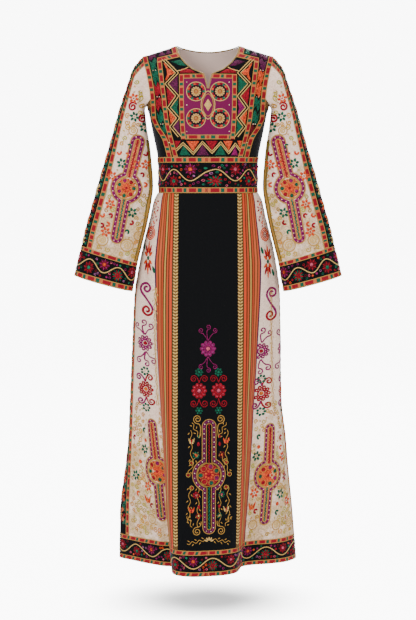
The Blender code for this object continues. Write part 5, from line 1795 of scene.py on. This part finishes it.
curls(gold, 330, over_front, clear, 103, 0.0076)
for turn, wide, tint in ((152, 0.0026, OLIVE), (158, 0.0036, GOLD), (163, 0.003, OLIVE), (167.5, 0.0034,
        STRAW),
                         (172, 0.003, OLIVE), (176, 0.003, BLACK)):
    x, z = sleeve_flat(turn, np.linspace(3.2, 7.96, 60))
    gold.cord(stacked(x, z)[::-1], wide * 1.65 / gold.gauge, tint, 0.0011)
lay_both("sleeve", floss, gold, sleeve_front_at(1), "_right")
lay_both("sleeve", floss.mirrored(), gold.mirrored(), sleeve_front_at(-1), "_left")
stars = Needlework(104)
for k in range(15):
    star_band(stars, 0.0, -0.022 - 0.037 * k, 0.0325, 0.0172,
              ((DEEP, CORAL, GREEN), (PLUM, SALMON, GREEN), (CRIMSON, STRAW, GREEN), (GREEN, CORAL,
                      DEEP))[k % 4])
for sign, side in SIDES:
    def outer_band_at(place, height, lift, sign=sign):
        return sleeve_at(sign)(2.5 - sign * place * 1000, -height / 0.0706, lift)
    lay("sleeve_band_silk_" + side, stars, outer_band_at, silk)

# Cuffs
# A band of black velvet round each wrist, edged with woven tape above and below.
for sign, side in SIDES:
    parts = (
        ("cuff_top_tape_", (8.002, 8.168), 5, tape, "woven_tape", TAPE_RISE, 0.012),
        ("cuff_", (8.158, 8.842), 16, velvet, "velvet", 0.0, 0.05),
        ("cuff_bottom_tape_", (8.832, 9.0), 5, tape, "woven_tape", TAPE_RISE, 0.012),
    )
    for name, stations, rows, material, slot_name, rise, deep in parts:
        piece = sleeve_patch(name + side + "_cloth", sign, (0, 360), stations, (rows, 140), material,
                             sleeve_lining, rise, closed=True)
        declare(piece, name + side, slot_name, flat=(0.42, deep), held="hung")
    turns = np.linspace(-90, 270, 721)
    places = sleeve_base(turns, np.full(turns.shape, 8.5))
    run = run_length(places)
    run = run - np.interp(90, turns, run)

    def cuff_at(place, height, lift):
        turn = np.interp(-sign * place, run, turns)
        return sleeve_at(sign)(turn, 8.5 - height / 0.082, lift)
    floss, gold = Needlework(80 + sign), Needlework(82 + sign)
    wrist = run[-1] - run[0]
    wave_band(floss, gold, -wrist / 2, wrist / 2, wrist / 5, -sign * 0.036, 0.0, 0.012, 0.0262, 0.016)
    lay_both("cuff", floss, gold, cuff_at, "_" + side)

# Neck binding
# A round cord of gold thread, about 3 mm thick, sewn over the raw edge of the neck and the slit.
cord_path = []
for row in np.linspace(8, 0, 60):
    x, z = front_line(row, 0)
    cord_path.append((x - 0.0019, z + 0.0006))
edge = [tuple(front_at(x, z, -0.0008)) for x, z in cord_path]
for column in np.linspace(2.9, 0, 24):
    x, z = back_line(0, column)
    edge.append(tuple(back_at(x * 0.98, z + 0.0017, -0.0008)))
path = [Vector(p) for p in edge]
path = path + [Vector((-p.x, p.y, p.z)) for p in path[::-1][1:]]
curve = bpy.data.curves.new("neck_binding_cord", "CURVE")
curve.dimensions = "3D"
curve.bevel_depth = 0.0016
curve.bevel_resolution = 3
curve.use_fill_caps = True
line = curve.splines.new("POLY")
line.points.add(len(path) - 1)
for point, place in zip(line.points, path):
    point.co = (*place, 1)
cord = bpy.data.objects.new("neck_binding_cord", curve)
bpy.context.scene.collection.objects.link(cord)
bpy.ops.object.select_all(action="DESELECT")
cord.select_set(True)
bpy.context.view_layer.objects.active = cord
bpy.ops.object.convert(target="MESH")
cord = bpy.context.object
cord.data.materials.clear()
cord_gold = new_material("cord_gold", (0.36, 0.24, 0.085), 0.55, metallic=0.25, sheen=0.03)
rough_up(cord_gold, 900, 0.5, 0.0008)
cord.data.materials.append(cord_gold)
for face in cord.data.polygons:
    face.use_smooth = True
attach(cord, "root")
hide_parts("neck_binding")

# Floor, light and camera
# A pale studio floor with a painted shadow under the dress, and a backdrop, with large soft lights from the
# front, above and behind.
bpy.ops.object.select_all(action="DESELECT")
bpy.ops.mesh.primitive_plane_add(size=40, location=(0, 0, -1.545))
floor = bpy.context.object
floor.name = "studio_floor"
paper_with_painted_shadow = new_material("studio_paper_painted_shadow", (0.97, 0.97, 0.97), 0.95)
paper = paper_with_painted_shadow.node_tree.nodes["Principled BSDF"]
paper.inputs["Emission Color"].default_value = (1, 1, 1, 1)
# Painted shadow: the floor glows only for the camera, and least in a soft oval round the dress's foot.
place = add_node(paper_with_painted_shadow, "ShaderNodeTexCoord")
painted_shadow_oval = add_node(paper_with_painted_shadow, "ShaderNodeMapping")
painted_shadow_oval.inputs["Location"].default_value = (0, 0.15, 0)
painted_shadow_oval.inputs["Scale"].default_value = (2.6, 3.4, 1)
reach = add_node(paper_with_painted_shadow, "ShaderNodeVectorMath", operation="LENGTH")
join(paper_with_painted_shadow, place.outputs["Object"], painted_shadow_oval.inputs["Vector"])
join(paper_with_painted_shadow, painted_shadow_oval.outputs["Vector"], reach.inputs[0])
# Glow strength 0.7 in the middle of the oval, rising to 8.5 outside it: the painted shadow.
soft = map_range(paper_with_painted_shadow, reach.outputs["Value"], 0.15, 1.0, 0.7, 8.5)
soft.node.interpolation_type = "SMOOTHSTEP"
rays = add_node(paper_with_painted_shadow, "ShaderNodeLightPath")
seen = maths(paper_with_painted_shadow, "MULTIPLY", soft, rays.outputs["Is Camera Ray"])
join(paper_with_painted_shadow, seen, paper.inputs["Emission Strength"])
floor.data.materials.append(paper_with_painted_shadow)
floor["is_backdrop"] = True
world = bpy.data.worlds.new("studio")
bpy.context.scene.world = world
world.use_nodes = True
plain = world.node_tree.nodes["Background"]
plain.inputs["Strength"].default_value = 0.66
backdrop = add_node(world, "ShaderNodeBackground")
backdrop.inputs["Strength"].default_value = 9.0
for shade in (plain, backdrop):
    shade.inputs["Color"].default_value = (1, 1, 1, 1)
rays = add_node(world, "ShaderNodeLightPath")
either = add_node(world, "ShaderNodeMixShader")
join(world, rays.outputs["Is Camera Ray"], either.inputs[0])
join(world, plain.outputs[0], either.inputs[1])
join(world, backdrop.outputs[0], either.inputs[2])
join(world, either.outputs[0], world.node_tree.nodes["World Output"].inputs["Surface"])


def aim(thing, place, target):
    thing.location = place
    thing.rotation_mode = "QUATERNION"
    thing.rotation_quaternion = (Vector(target) - Vector(place)).to_track_quat("-Z", "Y")


for name, place, size, power in (("key", (-2.2, -3.6, 1.1), 1.6, 112), ("fill", (2.6, -3.4, 0.2), 2.2, 48),
                                 ("top", (0.0, 0.2, 2.8), 2.6, 90), ("back", (1.4, 3.4, 1.9), 1.6, 130)):
    lamp = bpy.data.lights.new(name, "AREA")
    lamp.size = size
    lamp.energy = power
    thing = bpy.data.objects.new(name, lamp)
    bpy.context.scene.collection.objects.link(thing)
    aim(thing, place, (0, 0, -0.7))
lens = bpy.data.cameras.new("camera")
lens.lens = 89.5
camera = bpy.data.objects.new("camera", lens)
bpy.context.scene.collection.objects.link(camera)
aim(camera, (0.0, -4.3, -0.352), (0, 0, -0.73))
bpy.context.scene.camera = camera

low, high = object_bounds()
